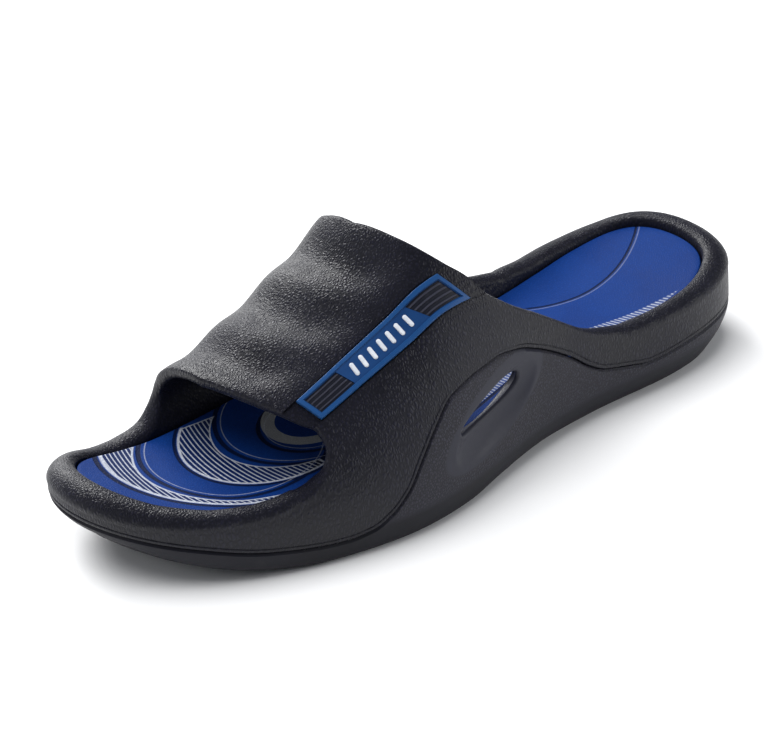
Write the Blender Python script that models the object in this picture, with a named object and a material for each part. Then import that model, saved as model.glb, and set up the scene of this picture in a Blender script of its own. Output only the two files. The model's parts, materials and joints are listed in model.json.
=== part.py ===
"""Sport slide sandal for the left foot: a moulded strap and rim, a unit sole, an insole and a strap badge.

The frame: the heel points to +X and the toe to -X, the outer side to -Y and the inner side to +Y, +Z is up.
The origin is on the ground, under the middle of the sandal. A place along the foot is measured from the
back of the heel, and a place across it from the foot's axis, plus towards the inner side.
"""
import math

import bmesh
import bpy
import numpy as np
from mathutils import Matrix, Vector

# Driving sizes, in metres
LENGTH = 0.2875
BALL_WIDTH = 0.100
FOOTBED_HEIGHT = 0.025
RIM_HEIGHT = 0.032
PARTING_HEIGHT = 0.016
HUMP_HEIGHT = 0.0335
WIDEST_HEIGHT = 0.018
TOE_SPRING = 0.0175
STRAP_RISE = 0.075
FOOT_WALL = 0.0098
STRAP_WALL = 0.0045
WALL_TAPER = 0.018
UNDERCUT = 0.0052
RIPPLE_DEPTH = 0.0023
DISH_DEPTH = 0.003
INSOLE_THICKNESS = 0.0035
INSOLE_EDGE = 0.0007
CLEARANCE = 0.0003
CORE_CLEARANCE = 0.0005
FLOOR_CLEARANCE = 0.0005
PARTING_GROOVE = 0.0009
SOLE_EDGE_ROUND = 0.003
SOLE_EDGE_LIFT = 0.0009
SOLE_EDGE_FLAT = 0.0028
GROOVE_WIDTH = 0.003
GROOVE_DEPTH = 0.0015
GROOVE_PITCH = 0.0095
GROOVE_MARGIN = 0.013
VENT_LENGTH = 0.036
VENT_WIDTH = 0.0088
VENT_REACH = 0.0157
SCOOP_LENGTH = 0.062
SCOOP_WIDTH = 0.0235
SCOOP_DEPTH = 0.0031
SCOOP_BALL = 0.0124
CHANNEL_DEPTH = 0.0010
CHANNEL_REACH = 0.004
BADGE_LENGTH = 0.0667
BADGE_WIDTH = 0.0120
BADGE_PROUD = 0.0010
PANEL_LENGTH = 0.0145
PANEL_WIDTH = 0.0078
PANEL_DEPTH = 0.0007
BADGE_BORDER = 0.0018
WELD = 0.00001

# Numbers without a unit
LATERAL_POWER = 2.0
MEDIAL_POWER = 2.5
UNDERCUT_POWER = 2.5
EDGE_CROWN = 0.33
VENT_SKEW = 0.25
SLOPE_STEP = 0.002
RIPPLES = 3

# Widest outline: along as a share of LENGTH, across as a share of BALL_WIDTH
OUTLINE = (
    (0.000, 0.00),
    (0.028, -0.26),
    (0.125, -0.40),
    (0.296, -0.40),
    (0.438, -0.44),
    (0.630, -0.54),
    (0.769, -0.47),
    (0.883, -0.33),
    (0.974, -0.09),
    (1.000, 0.14),
    (0.967, 0.40),
    (0.856, 0.45),
    (0.710, 0.46),
    (0.574, 0.46),
    (0.435, 0.37),
    (0.296, 0.34),
    (0.125, 0.38),
    (0.021, 0.23),
)

# Footbed: along, edge height as a share of FOOTBED_HEIGHT, dish as a share of DISH_DEPTH
FOOTBED = (
    (0.000, 1.43, 0.2),
    (0.070, 1.26, 0.7),
    (0.140, 1.10, 1.0),
    (0.210, 1.01, 0.9),
    (0.420, 0.97, 0.3),
    (0.630, 0.99, 0.5),
    (0.820, 0.94, 0.6),
    (0.880, 1.00, 0.4),
    (0.940, 1.14, 0.2),
    (1.000, 1.34, 0.1),
)

# Bottom: along, height as a share of TOE_SPRING, flat at heel and forefoot, share of UNDERCUT
BOTTOM = (
    (0.000, 0.52, 1.50),
    (0.035, 0.31, 1.50),
    (0.075, 0.12, 1.35),
    (0.125, 0.00, 1.15),
    (0.320, 0.00, 0.95),
    (0.420, 0.06, 0.80),
    (0.500, 0.04, 0.65),
    (0.560, 0.00, 0.50),
    (0.775, 0.00, 0.55),
    (0.817, 0.07, 0.60),
    (0.863, 0.20, 0.65),
    (0.905, 0.38, 0.70),
    (0.940, 0.58, 0.80),
    (0.975, 0.81, 0.95),
    (1.000, 0.98, 1.00),
)

# Rim: along, outer and inner crest as shares of RIM_HEIGHT, outward tilt as a share of RIM_HEIGHT
RIM = (
    (0.000, 1.150, 1.150, 0.125),
    (0.035, 1.120, 1.080, 0.110),
    (0.090, 1.065, 0.980, 0.060),
    (0.140, 1.030, 0.945, 0.040),
    (0.210, 1.015, 0.935, 0.030),
    (0.265, 1.030, 0.985, 0.030),
    (0.790, 0.985, 0.850, 0.040),
    (0.820, 0.920, 0.830, 0.045),
    (0.855, 0.880, 0.815, 0.050),
    (0.900, 0.880, 0.820, 0.070),
    (0.940, 0.930, 0.865, 0.100),
    (0.975, 1.000, 0.950, 0.140),
    (1.000, 1.045, 1.045, 0.160),
)

# Parting line: along, outer and inner height as shares of PARTING_HEIGHT, hump as a share of HUMP_HEIGHT
PARTING = (
    (0.000, 1.06, 1.06, 0.00),
    (0.140, 1.00, 1.00, 0.00),
    (0.222, 0.92, 0.95, 0.00),
    (0.261, 0.98, 0.93, 0.04),
    (0.299, 1.02, 0.92, 0.11),
    (0.327, 1.02, 0.90, 0.25),
    (0.355, 1.02, 0.88, 0.45),
    (0.385, 1.02, 0.86, 0.63),
    (0.414, 1.02, 0.84, 0.78),
    (0.452, 1.01, 0.80, 0.93),
    (0.495, 1.00, 0.75, 1.00),
    (0.535, 0.96, 0.72, 0.995),
    (0.575, 0.90, 0.70, 0.945),
    (0.612, 0.84, 0.68, 0.735),
    (0.640, 0.78, 0.67, 0.51),
    (0.667, 0.72, 0.66, 0.24),
    (0.690, 0.64, 0.65, 0.10),
    (0.715, 0.55, 0.65, 0.03),
    (0.748, 0.53, 0.65, 0.00),
    (0.840, 0.70, 0.75, 0.00),
    (0.918, 1.03, 1.05, 0.00),
    (0.950, 1.18, 1.18, 0.00),
    (0.985, 1.36, 1.36, 0.00),
    (1.000, 1.44, 1.44, 0.00),
)

# Strap section: along, rise as a share of STRAP_RISE, crown's place as a share of BALL_WIDTH,
# widest height as a share of WIDEST_HEIGHT
SECTION = (
    (0.000, 1.307, 0.06, 1.00),
    (0.209, 1.307, 0.06, 1.00),
    (0.348, 1.280, 0.06, 1.00),
    (0.452, 1.227, 0.06, 1.00),
    (0.504, 1.133, 0.06, 1.00),
    (0.557, 1.020, 0.07, 1.00),
    (0.609, 0.867, 0.08, 1.00),
    (0.696, 0.680, 0.09, 1.00),
    (0.748, 0.593, 0.09, 1.00),
    (0.817, 0.493, 0.10, 1.00),
    (0.870, 0.430, 0.11, 1.04),
    (0.904, 0.400, 0.12, 1.10),
    (0.950, 0.400, 0.12, 1.22),
    (1.000, 0.400, 0.12, 1.36),
)

# Strap edges: share of the way from the rim up to the crown, then the edge's place along,
# front edge on the outer and inner side, rear edge on the outer and inner side
EDGES = (
    (0.000, 0.790, 0.870, 0.257, 0.271),
    (0.025, 0.778, 0.836, 0.292, 0.330),
    (0.060, 0.770, 0.820, 0.325, 0.388),
    (0.110, 0.757, 0.811, 0.358, 0.437),
    (0.180, 0.749, 0.804, 0.400, 0.478),
    (0.270, 0.742, 0.801, 0.450, 0.507),
    (0.360, 0.743, 0.801, 0.483, 0.526),
    (0.460, 0.757, 0.803, 0.502, 0.541),
    (0.560, 0.769, 0.804, 0.523, 0.552),
    (0.680, 0.782, 0.804, 0.541, 0.561),
    (0.820, 0.793, 0.804, 0.556, 0.567),
    (1.000, 0.803, 0.803, 0.568, 0.568),
)

# Columns and rows of the strap and the walls
STRAP_COLUMNS = 20
STRAP_ROWS = 12
SETTLING_PASSES = 600
SEARCH_STEPS = 40
TOE_COLUMNS = 19
HEEL_COLUMNS = 19
WALL_ROWS = 4
SOLE_ROWS = 7
EDGE_ROWS = 5
BED_SHARES = (0.0, 0.42, 0.77, 1.0)
OUTLINE_POINTS = 1440
SCOOP_SEGMENTS = 28
VENT_SEGMENTS = 24
BADGE_STEPS = 16
SHARP_ANGLE = 38.0

# Places, as shares of LENGTH along and degrees round the strap
HEEL_HUB = 0.148
TOE_HUB = 0.870
VENT_PLACE = 0.5130
VENT_CENTRE = 0.0345
VENT_TILT = 10.5
SCOOP_PLACE = 0.5080
SCOOP_CENTRE = 0.0315
SCOOP_TILT = 20.0
BADGE_FRONT = 0.7430
BADGE_FRONT_ANGLE = 49.5
BADGE_REAR = 0.5225
BADGE_REAR_ANGLE = 46.2
BADGE_ARCH = 3.6
BADGE_SPREAD = (0.89, 1.08)
BADGE_LEAN = (0.17, 0.57)
CHANNEL_ENDS = (-0.25, 1.25)
RIPPLE_FADE = ((58.0, 76.0), (22.0, 45.0))
TREAD_FIELDS = ((0.125, 0.300), (0.575, 0.765))


def mix(first, second, share):
    """Value a share of the way from the first to the second."""
    return first + (second - first) * share


def ease(share):
    """Smooth step from 0 to 1."""
    share = min(max(share, 0.0), 1.0)
    return share * share * (3.0 - 2.0 * share)


def unit(vector):
    """Vector of length one."""
    return vector / np.linalg.norm(vector)


def track(rows, column):
    """Function that runs smoothly through a table's column and never swings past its values."""
    places = np.array([row[0] for row in rows])
    values = np.array([row[column] for row in rows])
    gaps = np.diff(places)
    climbs = np.diff(values) / gaps
    slopes = np.zeros(len(places))
    slopes[0] = climbs[0]
    slopes[-1] = climbs[-1]
    for k in range(1, len(places) - 1):
        if climbs[k - 1] * climbs[k] > 0.0:
            slopes[k] = 2.0 * climbs[k - 1] * climbs[k] / (climbs[k - 1] + climbs[k])

    def value(place):
        k = int(np.clip(np.searchsorted(places, place, side="right") - 1, 0, len(gaps) - 1))
        t = min(max((place - places[k]) / gaps[k], 0.0), 1.0)
        start = (1.0 + 2.0 * t) * (1.0 - t) ** 2 * values[k] + t * (1.0 - t) ** 2 * gaps[k] * slopes[k]
        end = t * t * (3.0 - 2.0 * t) * values[k + 1] + t * t * (t - 1.0) * gaps[k] * slopes[k + 1]
        return start + end

    return value


bed_share = track(FOOTBED, 1)
dish_share = track(FOOTBED, 2)
bottom_share = track(BOTTOM, 1)
undercut_share = track(BOTTOM, 2)
crest_shares = (track(RIM, 1), track(RIM, 2))
tilt_share = track(RIM, 3)
line_shares = (track(PARTING, 1), track(PARTING, 2))
hump_share = track(PARTING, 3)
rise_share = track(SECTION, 1)
crown_share = track(SECTION, 2)
widest_share = track(SECTION, 3)
front_edges = (track(EDGES, 1), track(EDGES, 2))
rear_edges = (track(EDGES, 3), track(EDGES, 4))


def closed_spline(points, count):
    """Evenly spaced points on the smooth closed curve through the given ones."""
    size = len(points)
    spans = np.linalg.norm(np.roll(points, -1, 0) - points, axis=1)
    knots = np.concatenate([[0.0], np.cumsum(spans)])
    matrix = np.zeros((size, size))
    right = np.zeros((size, 2))
    for k in range(size):
        before = spans[k - 1]
        after = spans[k]
        matrix[k, k - 1] += before
        matrix[k, k] += 2.0 * (before + after)
        matrix[k, (k + 1) % size] += after
        climb = (points[(k + 1) % size] - points[k]) / after
        right[k] = 6.0 * (climb - (points[k] - points[k - 1]) / before)
    bends = np.linalg.solve(matrix, right)
    places = np.linspace(0.0, knots[-1], count, endpoint=False)
    found = []
    for place in places:
        k = min(int(np.searchsorted(knots, place, side="right")) - 1, size - 1)
        after = (k + 1) % size
        left = place - knots[k]
        rest = spans[k] - left
        curve = (bends[k] * rest ** 3 + bends[after] * left ** 3) / (6.0 * spans[k])
        curve += (points[k] / spans[k] - bends[k] * spans[k] / 6.0) * rest
        curve += (points[after] / spans[k] - bends[after] * spans[k] / 6.0) * left
        found.append(curve)
    return np.array(found)


def outline_halves():
    """The outline's outer half and inner half, each from the heel to the toe, and its middle."""
    points = np.array([(along * LENGTH, across * BALL_WIDTH) for along, across in OUTLINE])
    loop = closed_spline(points, OUTLINE_POINTS)
    loop = np.roll(loop, -int(np.argmin(loop[:, 0])), 0)
    tip = int(np.argmax(loop[:, 0]))
    outer = loop[:tip + 1]
    inner = np.vstack([loop[tip:], loop[:1]])[::-1]
    middle = (loop.min(0) + loop.max(0)) / 2.0
    return (outer, inner), middle


HALVES, MIDDLE = outline_halves()


def place(spot, height):
    """Point of the world from a place along and across the foot and a height."""
    return np.array([MIDDLE[0] - spot[0], spot[1] - MIDDLE[1], height])


def outline_at(along, side):
    """Point of the widest outline at a share of the length, on the outer side, 0, or the inner side, 1."""
    half = HALVES[side]
    return np.array([along * LENGTH, np.interp(along * LENGTH, half[:, 0], half[:, 1])])


def bottom_height(spot):
    """Height of the bottom over the ground."""
    return TOE_SPRING * bottom_share(spot[0] / LENGTH)


def bed_height(spot, share):
    """Height of the footbed's top, a share of the way from the middle line to its edge."""
    along = spot[0] / LENGTH
    dish = DISH_DEPTH * dish_share(along) * (1.0 - share * share)
    return FOOTBED_HEIGHT * bed_share(along) - dish


def climb_angle(climb, rise, power):
    """Angle round the strap's section at a climb up from the widest outline."""
    return min((max(climb, 0.0) / rise) ** (power / 2.0), math.pi / 2.0)


def angle_climb(angle, along, side):
    """Climb at an angle round the strap's section."""
    power = (LATERAL_POWER, MEDIAL_POWER)[side]
    return STRAP_RISE * rise_share(along) * angle ** (2.0 / power)


def strap_skin(along, angle, side, sink=0.0):
    """Outer face of the strap at a place along and an angle up in radians, less a sink."""
    power = (LATERAL_POWER, MEDIAL_POWER)[side]
    hub = np.array([along * LENGTH, crown_share(along) * BALL_WIDTH])
    spread = max(math.cos(angle), 0.0) ** (2.0 / power)
    lift = math.sin(angle) ** (2.0 / power)
    height = WIDEST_HEIGHT * widest_share(along) + STRAP_RISE * rise_share(along) * lift
    return place(hub + (outline_at(along, side) - hub) * spread, height - sink * math.sin(angle))


def line_height(along, medial):
    """Height of the parting line, from the outer side, 0, to the inner side, 1."""
    share = mix(line_shares[0](along), line_shares[1](along), medial)
    return PARTING_HEIGHT * share + HUMP_HEIGHT * hump_share(along) * (1.0 - medial)


class Column:
    """An upright cut through the sandal's edge, from the widest outline towards a hub inside."""

    def __init__(self, base, medial):
        along = base[0] / LENGTH
        hub_along = min(max(along, HEEL_HUB), TOE_HUB)
        hub = np.array([hub_along * LENGTH, crown_share(hub_along) * BALL_WIDTH])
        self.base = base
        self.along = along
        self.medial = medial
        self.inward = unit(hub - base)
        self.span = np.linalg.norm(hub - base)
        self.middle = hub
        self.power = mix(LATERAL_POWER, MEDIAL_POWER, medial)
        self.widest = WIDEST_HEIGHT * widest_share(along)
        self.rise = STRAP_RISE * rise_share(along)
        self.bottom = bottom_height(base)
        self.undercut = UNDERCUT * undercut_share(along)
        self.bed = bed_height(base + self.inward * FOOT_WALL, 1.0)
        self.floor = self.bed - INSOLE_THICKNESS - FLOOR_CLEARANCE
        self.line = line_height(along, medial)
        climb = line_height(along + SLOPE_STEP, medial) - line_height(along - SLOPE_STEP, medial)
        self.gap = CLEARANCE * math.hypot(1.0, climb / (2.0 * SLOPE_STEP * LENGTH))
        crest = RIM_HEIGHT * mix(crest_shares[0](along), crest_shares[1](along), medial)
        half_tilt = RIM_HEIGHT * tilt_share(along) / 2.0
        foot = crest - EDGE_CROWN * FOOT_WALL
        self.shoulder = foot - half_tilt
        self.lip = max(foot + half_tilt, self.bed + 2.0 * CLEARANCE)

    def outer(self, height):
        """How far the outer face lies inside the widest outline."""
        if height < self.widest:
            return self.undercut * ((self.widest - height) / (self.widest - self.bottom)) ** UNDERCUT_POWER
        ratio = min((height - self.widest) / self.rise, 1.0)
        return self.span * (1.0 - (1.0 - ratio ** self.power) ** (1.0 / self.power))

    def wall(self, height):
        """Thickness of the upper, from the thick foot of the wall to the thin strap."""
        return mix(FOOT_WALL, STRAP_WALL, ease((height - self.bed) / WALL_TAPER))

    def inner(self, height):
        """How far the inner face lies inside the widest outline."""
        return self.outer(height) + self.wall(height)

    def angle(self, height):
        """Angle up the strap's section at a height on the outer face."""
        ratio = min(max((height - self.widest) / self.rise, 0.0), 1.0)
        return math.asin(ratio ** (self.power / 2.0))

    def at(self, inset, height):
        """Point on this cut."""
        return place(self.base + self.inward * inset, height)

    def under(self, inset, share):
        """Point of the bottom, a share of the way from the middle line to an inset."""
        spot = mix(self.middle, self.base + self.inward * inset, share)
        return place(spot, bottom_height(spot))

    def bedded(self, inset, share, drop):
        """Point a drop below the footbed, a share of the way from the middle line to an inset."""
        spot = mix(self.middle, self.base + self.inward * inset, share)
        return place(spot, bed_height(spot, share) - drop)


def core_rise(share):
    """Height of the parting line over the sole's core, a share of the way along the outer side's columns."""
    along = mix(front_edges[0](0.0), rear_edges[0](0.0), share)
    column = Column(outline_at(along, 0), 0.0)
    return column.line - column.floor


def column_shares():
    """Places of the side columns, with one wherever the sole's core meets the parting line."""
    shares = [k / STRAP_COLUMNS for k in range(STRAP_COLUMNS + 1)]
    for k in range(STRAP_COLUMNS):
        low = k / STRAP_COLUMNS
        high = (k + 1) / STRAP_COLUMNS
        below = core_rise(low) < 0.0
        if below == (core_rise(high) < 0.0):
            continue
        for _ in range(SEARCH_STEPS):
            middle = (low + high) / 2.0
            if (core_rise(middle) < 0.0) == below:
                low = middle
            else:
                high = middle
        shares[round(low * STRAP_COLUMNS)] = low
    return np.array(shares)


SHARES = column_shares()


def side_columns(side):
    """Columns under one end of the strap, from its front edge to its rear edge."""
    spread = mix(front_edges[side](0.0), rear_edges[side](0.0), SHARES)
    return [Column(outline_at(along, side), float(side)) for along in spread]


def cap_columns(first, last, count, past_toe):
    """Columns between two side columns, evenly spaced round the toe or the heel."""
    outer, inner = HALVES
    if past_toe:
        path = np.vstack([inner[inner[:, 0] > first.base[0]], outer[outer[:, 0] > last.base[0]][::-1]])
    else:
        path = np.vstack([outer[outer[:, 0] < first.base[0]][::-1], inner[inner[:, 0] < last.base[0]]])
    path = np.vstack([first.base, path, last.base])
    steps = np.linalg.norm(np.diff(path, axis=0), axis=1)
    run = np.concatenate([[0.0], np.cumsum(steps)])
    columns = []
    for k in range(1, count):
        share = k / count
        spot = np.array([np.interp(share * run[-1], run, path[:, axis]) for axis in (0, 1)])
        columns.append(Column(spot, mix(first.medial, last.medial, ease(share))))
    return columns


def edge_columns():
    """All columns round the sandal: outer side, heel, inner side and toe."""
    lateral = side_columns(0)
    medial = side_columns(1)
    heel = cap_columns(lateral[-1], medial[-1], HEEL_COLUMNS, past_toe=False)
    toe = cap_columns(medial[0], lateral[0], TOE_COLUMNS, past_toe=True)
    for left, right in zip(lateral, medial):
        along = (left.along + right.along) / 2.0
        middle = np.array([along * LENGTH, crown_share(along) * BALL_WIDTH])
        left.middle = middle
        right.middle = middle
    for column in heel:
        column.middle = lateral[-1].middle
    for column in toe:
        column.middle = lateral[0].middle
    return lateral, heel, medial, toe


LATERAL, HEEL, MEDIAL, TOE = edge_columns()
ROUND = LATERAL + HEEL + MEDIAL[::-1] + TOE


class Skin:
    """Patches of quads, welded into one closed body."""

    def __init__(self):
        self.mesh = bmesh.new()

    def patch(self, rows):
        """Add the faces between neighbouring rows of points."""
        grid = [[self.mesh.verts.new(Vector(point)) for point in row] for row in rows]
        for low, high in zip(grid, grid[1:]):
            for k in range(len(low) - 1):
                self.mesh.faces.new((low[k], low[k + 1], high[k + 1], high[k]))

    def ring(self, profiles):
        """Add the faces between neighbouring profiles, closed round the sandal."""
        self.patch(list(profiles) + [profiles[0]])

    def body(self, name, look, collection):
        """Weld the patches and make the object."""
        bmesh.ops.remove_doubles(self.mesh, verts=self.mesh.verts, dist=WELD)
        bmesh.ops.dissolve_degenerate(self.mesh, edges=self.mesh.edges, dist=WELD)
        bmesh.ops.recalc_face_normals(self.mesh, faces=self.mesh.faces)
        return mesh_object(name, self.mesh, look, collection)


def mesh_object(name, shape, look, collection):
    """Object from a bmesh, shaded smooth, with its own material."""
    mesh = bpy.data.meshes.new(name)
    shape.to_mesh(mesh)
    shape.free()
    mesh.shade_smooth()
    mesh.set_sharp_from_angle(angle=math.radians(SHARP_ANGLE))
    thing = bpy.data.objects.new(name, mesh)
    collection.objects.link(thing)
    if look:
        mesh.materials.append(finish(name, *look))
    return thing


def finish(name, colour, roughness):
    """Principled material."""
    material = bpy.data.materials.new(name)
    material.use_nodes = True
    shader = material.node_tree.nodes["Principled BSDF"]
    shader.inputs["Base Color"].default_value = (*colour, 1.0)
    shader.inputs["Roughness"].default_value = roughness
    shader.inputs["Metallic"].default_value = 0.0
    return material


def cut(thing, cutter):
    """Take the cutter's shape out of the object."""
    step = thing.modifiers.new(cutter.name, "BOOLEAN")
    step.operation = "DIFFERENCE"
    step.solver = "EXACT"
    step.object = cutter
    cutter.display_type = "WIRE"
    cutter.hide_render = True


def ripple(along, angle, side):
    """Depth of the waves that run across the top of the strap."""
    column = (LATERAL, MEDIAL)[side][0]
    start = column.angle(column.shoulder)
    rise = min(max((angle - start) / (math.pi / 2.0 - start), 0.0), 1.0)
    front = front_edges[side](rise)
    across = min(max((front - along) / (front - rear_edges[side](rise)), 0.0), 1.0)
    low, full = RIPPLE_FADE[side]
    strength = ease((math.degrees(angle) - low) / (full - low))
    return RIPPLE_DEPTH * strength * (0.5 - 0.5 * math.cos(2.0 * math.pi * RIPPLES * across))


def strap_normal(along, angle, side):
    """Direction out of the strap's outer face, without the waves."""
    low = max(angle - SLOPE_STEP, 0.0)
    high = min(angle + SLOPE_STEP, math.pi / 2.0)
    run = strap_skin(along + SLOPE_STEP, angle, side) - strap_skin(along - SLOPE_STEP, angle, side)
    climb = strap_skin(along, high, side) - strap_skin(along, low, side)
    out = unit(np.cross(climb, run))
    return out if side == 0 else -out


def strap_borders(side):
    """Border of one side's grid, as places along and climbs: parting line, front, rear and crown."""
    columns = (LATERAL, MEDIAL)[side]
    grid = np.zeros((STRAP_COLUMNS + 1, WALL_ROWS + STRAP_ROWS + 1, 2))
    for k, column in enumerate(columns):
        crown = mix(front_edges[side](1.0), rear_edges[side](1.0), SHARES[k])
        grid[k, 0] = (column.along, column.line + column.gap + PARTING_GROOVE - column.widest)
        grid[k, -1] = (crown, angle_climb(math.pi / 2.0, crown, side))
    for k, edge in ((0, front_edges[side]), (STRAP_COLUMNS, rear_edges[side])):
        start = columns[k].angle(columns[k].shoulder)
        for row in range(STRAP_ROWS + 1):
            rise = row / STRAP_ROWS
            along = edge(rise)
            grid[k, WALL_ROWS + row] = (along, angle_climb(mix(start, math.pi / 2.0, rise), along, side))
        for row in range(1, WALL_ROWS):
            grid[k, row] = mix(grid[k, 0], grid[k, WALL_ROWS], row / WALL_ROWS)
    return grid


def strap_places(side):
    """Places along and climbs of one side's grid, spread evenly between its borders, without folds."""
    grid = strap_borders(side)
    rows = np.linspace(0.0, 1.0, grid.shape[1])[None, :, None]
    across = SHARES[:, None, None]
    upright = mix(grid[:, :1], grid[:, -1:], rows)
    level = mix(grid[:1], grid[-1:], across)
    guess = upright + level - mix(level[:, :1], level[:, -1:], rows)
    grid[1:-1, 1:-1] = guess[1:-1, 1:-1]
    scale = np.array([LENGTH, 1.0])
    for _ in range(SETTLING_PASSES):
        ahead = (grid[2:, 1:-1] - grid[:-2, 1:-1]) / 2.0 * scale
        up = (grid[1:-1, 2:] - grid[1:-1, :-2]) / 2.0 * scale
        corner = (grid[2:, 2:] - grid[:-2, 2:] - grid[2:, :-2] + grid[:-2, :-2]) / 4.0
        stretch = np.sum(up * up, -1, keepdims=True)
        squeeze = np.sum(ahead * ahead, -1, keepdims=True)
        skew = np.sum(ahead * up, -1, keepdims=True)
        along = stretch * (grid[2:, 1:-1] + grid[:-2, 1:-1])
        rise = squeeze * (grid[1:-1, 2:] + grid[1:-1, :-2])
        grid[1:-1, 1:-1] = (along + rise - 2.0 * skew * corner) / (2.0 * (stretch + squeeze))
    return grid


def strap_pair(along, climb, side):
    """Outer and inner point of the upper at a place along and a climb up from the widest outline."""
    column = Column(outline_at(along, side), float(side))
    if climb < 0.0:
        height = column.widest + climb
        return column.at(column.outer(height), height), column.at(column.inner(height), height)
    angle = climb_angle(climb, column.rise, column.power)
    spot = strap_skin(along, angle, side, ripple(along, angle, side))
    level = np.array([-column.inward[0], column.inward[1], 0.0])
    square = ease((spot[2] - max(column.bed, column.line)) / WALL_TAPER)
    depth = mix(level, -strap_normal(along, angle, side), square)
    return spot, spot + unit(depth) * column.wall(spot[2])


def strap_faces(side):
    """Outer and inner points of one side of the upper, each column from the parting line to the crown."""
    outer = []
    inner = []
    for column, places in zip((LATERAL, MEDIAL)[side], strap_places(side)):
        low = column.line + column.gap
        pairs = [(column.at(column.outer(low) + PARTING_GROOVE, low), column.at(column.inner(low), low))]
        pairs += [strap_pair(along, climb, side) for along, climb in places]
        outer.append([pair[0] for pair in pairs])
        inner.append([pair[1] for pair in pairs])
    return np.array(outer), np.array(inner)


def band_faces(columns):
    """Outer and inner points of the rim's wall."""
    outer = []
    inner = []
    for column in columns:
        low = column.line + column.gap
        rises = [mix(low + PARTING_GROOVE, column.shoulder, k / WALL_ROWS) for k in range(WALL_ROWS + 1)]
        lip = column.at(column.outer(low) + PARTING_GROOVE, low)
        outer.append([lip] + [column.at(column.outer(height), height) for height in rises])
        tops = [low] + rises[:-1] + [column.lip]
        inner.append([column.at(column.inner(height), height) for height in tops])
    return np.array(outer), np.array(inner)


def rounded_edge(outer, inner):
    """Rows that round over from a closed loop of outer points to its inner points."""
    thick = outer - inner
    width = np.linalg.norm(thick, axis=1)[:, None]
    around = np.roll(outer + inner, -1, 0) - np.roll(outer + inner, 1, 0)
    out = np.cross(thick / width, around)
    out /= np.linalg.norm(out, axis=1)[:, None]
    if out[:, 2].sum() < 0.0:
        out = -out
    centre = (outer + inner) / 2.0
    rows = []
    for step in range(EDGE_ROWS + 1):
        turn = math.pi * step / EDGE_ROWS
        rows.append(centre + thick / 2.0 * math.cos(turn) + out * width * EDGE_CROWN * math.sin(turn))
    rows[0] = outer
    rows[-1] = inner
    return rows


def upper_body(collection):
    """Strap, side walls and rim, moulded whole."""
    sides = (strap_faces(0), strap_faces(1))
    heel = band_faces(HEEL)
    toe = band_faces(TOE)
    skin = Skin()
    rows = WALL_ROWS + 2
    rear_loops = []
    front_loops = []
    feet = []
    for face in (0, 1):
        strap = np.concatenate([sides[0][face], sides[1][face][:, -2::-1]], axis=1)
        skin.patch(strap)
        skin.patch(np.concatenate([strap[-1:, :rows], heel[face], strap[-1:, -rows:][:, ::-1]]))
        skin.patch(np.concatenate([strap[:1, -rows:][:, ::-1], toe[face], strap[:1, :rows]]))
        top = slice(rows - 1, strap.shape[1] - rows + 1)
        rear_loops.append(np.concatenate([strap[-1, top][::-1], heel[face][:, -1]]))
        front_loops.append(np.concatenate([strap[0, top], toe[face][:, -1]]))
        foot = np.concatenate([strap[:, 0], heel[face][:, 0], strap[::-1, -1], toe[face][:, 0]])
        feet.append(np.vstack([foot, foot[:1]]))
    for loops in (rear_loops, front_loops):
        skin.patch([np.vstack([row, row[:1]]) for row in rounded_edge(loops[0], loops[1])])
    skin.patch(feet)
    return skin.body("upper", UPPER_LOOK, collection)


def sole_profile(column):
    """Section of the sole from under the middle, round its edge and over its core, back to the middle."""
    edge = column.outer(column.bottom) + SOLE_EDGE_FLAT
    points = [column.under(edge, share) for share in BED_SHARES]
    points.append(column.at(column.outer(column.bottom), column.bottom + SOLE_EDGE_LIFT))
    top = column.line - PARTING_GROOVE
    for row in range(SOLE_ROWS + 1):
        level = mix(column.bottom + SOLE_EDGE_ROUND, top, row / SOLE_ROWS)
        points.append(column.at(column.outer(level), level))
    points.append(column.at(column.outer(column.line) + PARTING_GROOVE, column.line))
    for share in (0.0, 0.5, 1.0):
        level = mix(column.line, column.floor, share)
        points.append(column.at(column.inner(level) + CORE_CLEARANCE, level))
    core = column.inner(column.floor) + CORE_CLEARANCE
    drop = column.bed - column.floor
    points += [column.bedded(core, share, drop) for share in BED_SHARES[-2::-1]]
    return points


def insole_profile(column):
    """Section of the insole from its underside's middle, round its edge, to its top's middle."""
    edge = column.inner(column.bed) + 2.0 * CLEARANCE
    points = [column.bedded(edge, share, INSOLE_THICKNESS) for share in BED_SHARES]
    points.append(column.at(edge, column.bed - INSOLE_EDGE))
    points += [column.bedded(edge + INSOLE_EDGE, share, 0.0) for share in BED_SHARES[::-1]]
    return points


def ring_body(name, profile, look, collection):
    """Body swept round the sandal from one section for each column."""
    skin = Skin()
    skin.ring([profile(column) for column in ROUND])
    return skin.body(name, look, collection)


def side_frame(along, height, tilt):
    """Frame on the outer wall: x towards the heel along the wall, y up it, z outwards."""
    column = Column(outline_at(along, 0), 0.0)
    ahead = outline_at(along + SLOPE_STEP, 0)
    behind = outline_at(along - SLOPE_STEP, 0)
    spot = column.at(column.outer(height), height)
    rear = Vector(unit(place(behind, height) - place(ahead, height)))
    out = rear.cross(Vector((0.0, 0.0, 1.0))).normalized()
    frame = Matrix((rear, out.cross(rear), out)).transposed().to_4x4()
    return Matrix.Translation(Vector(spot)) @ frame @ Matrix.Rotation(math.radians(tilt), 4, "Z")


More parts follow.
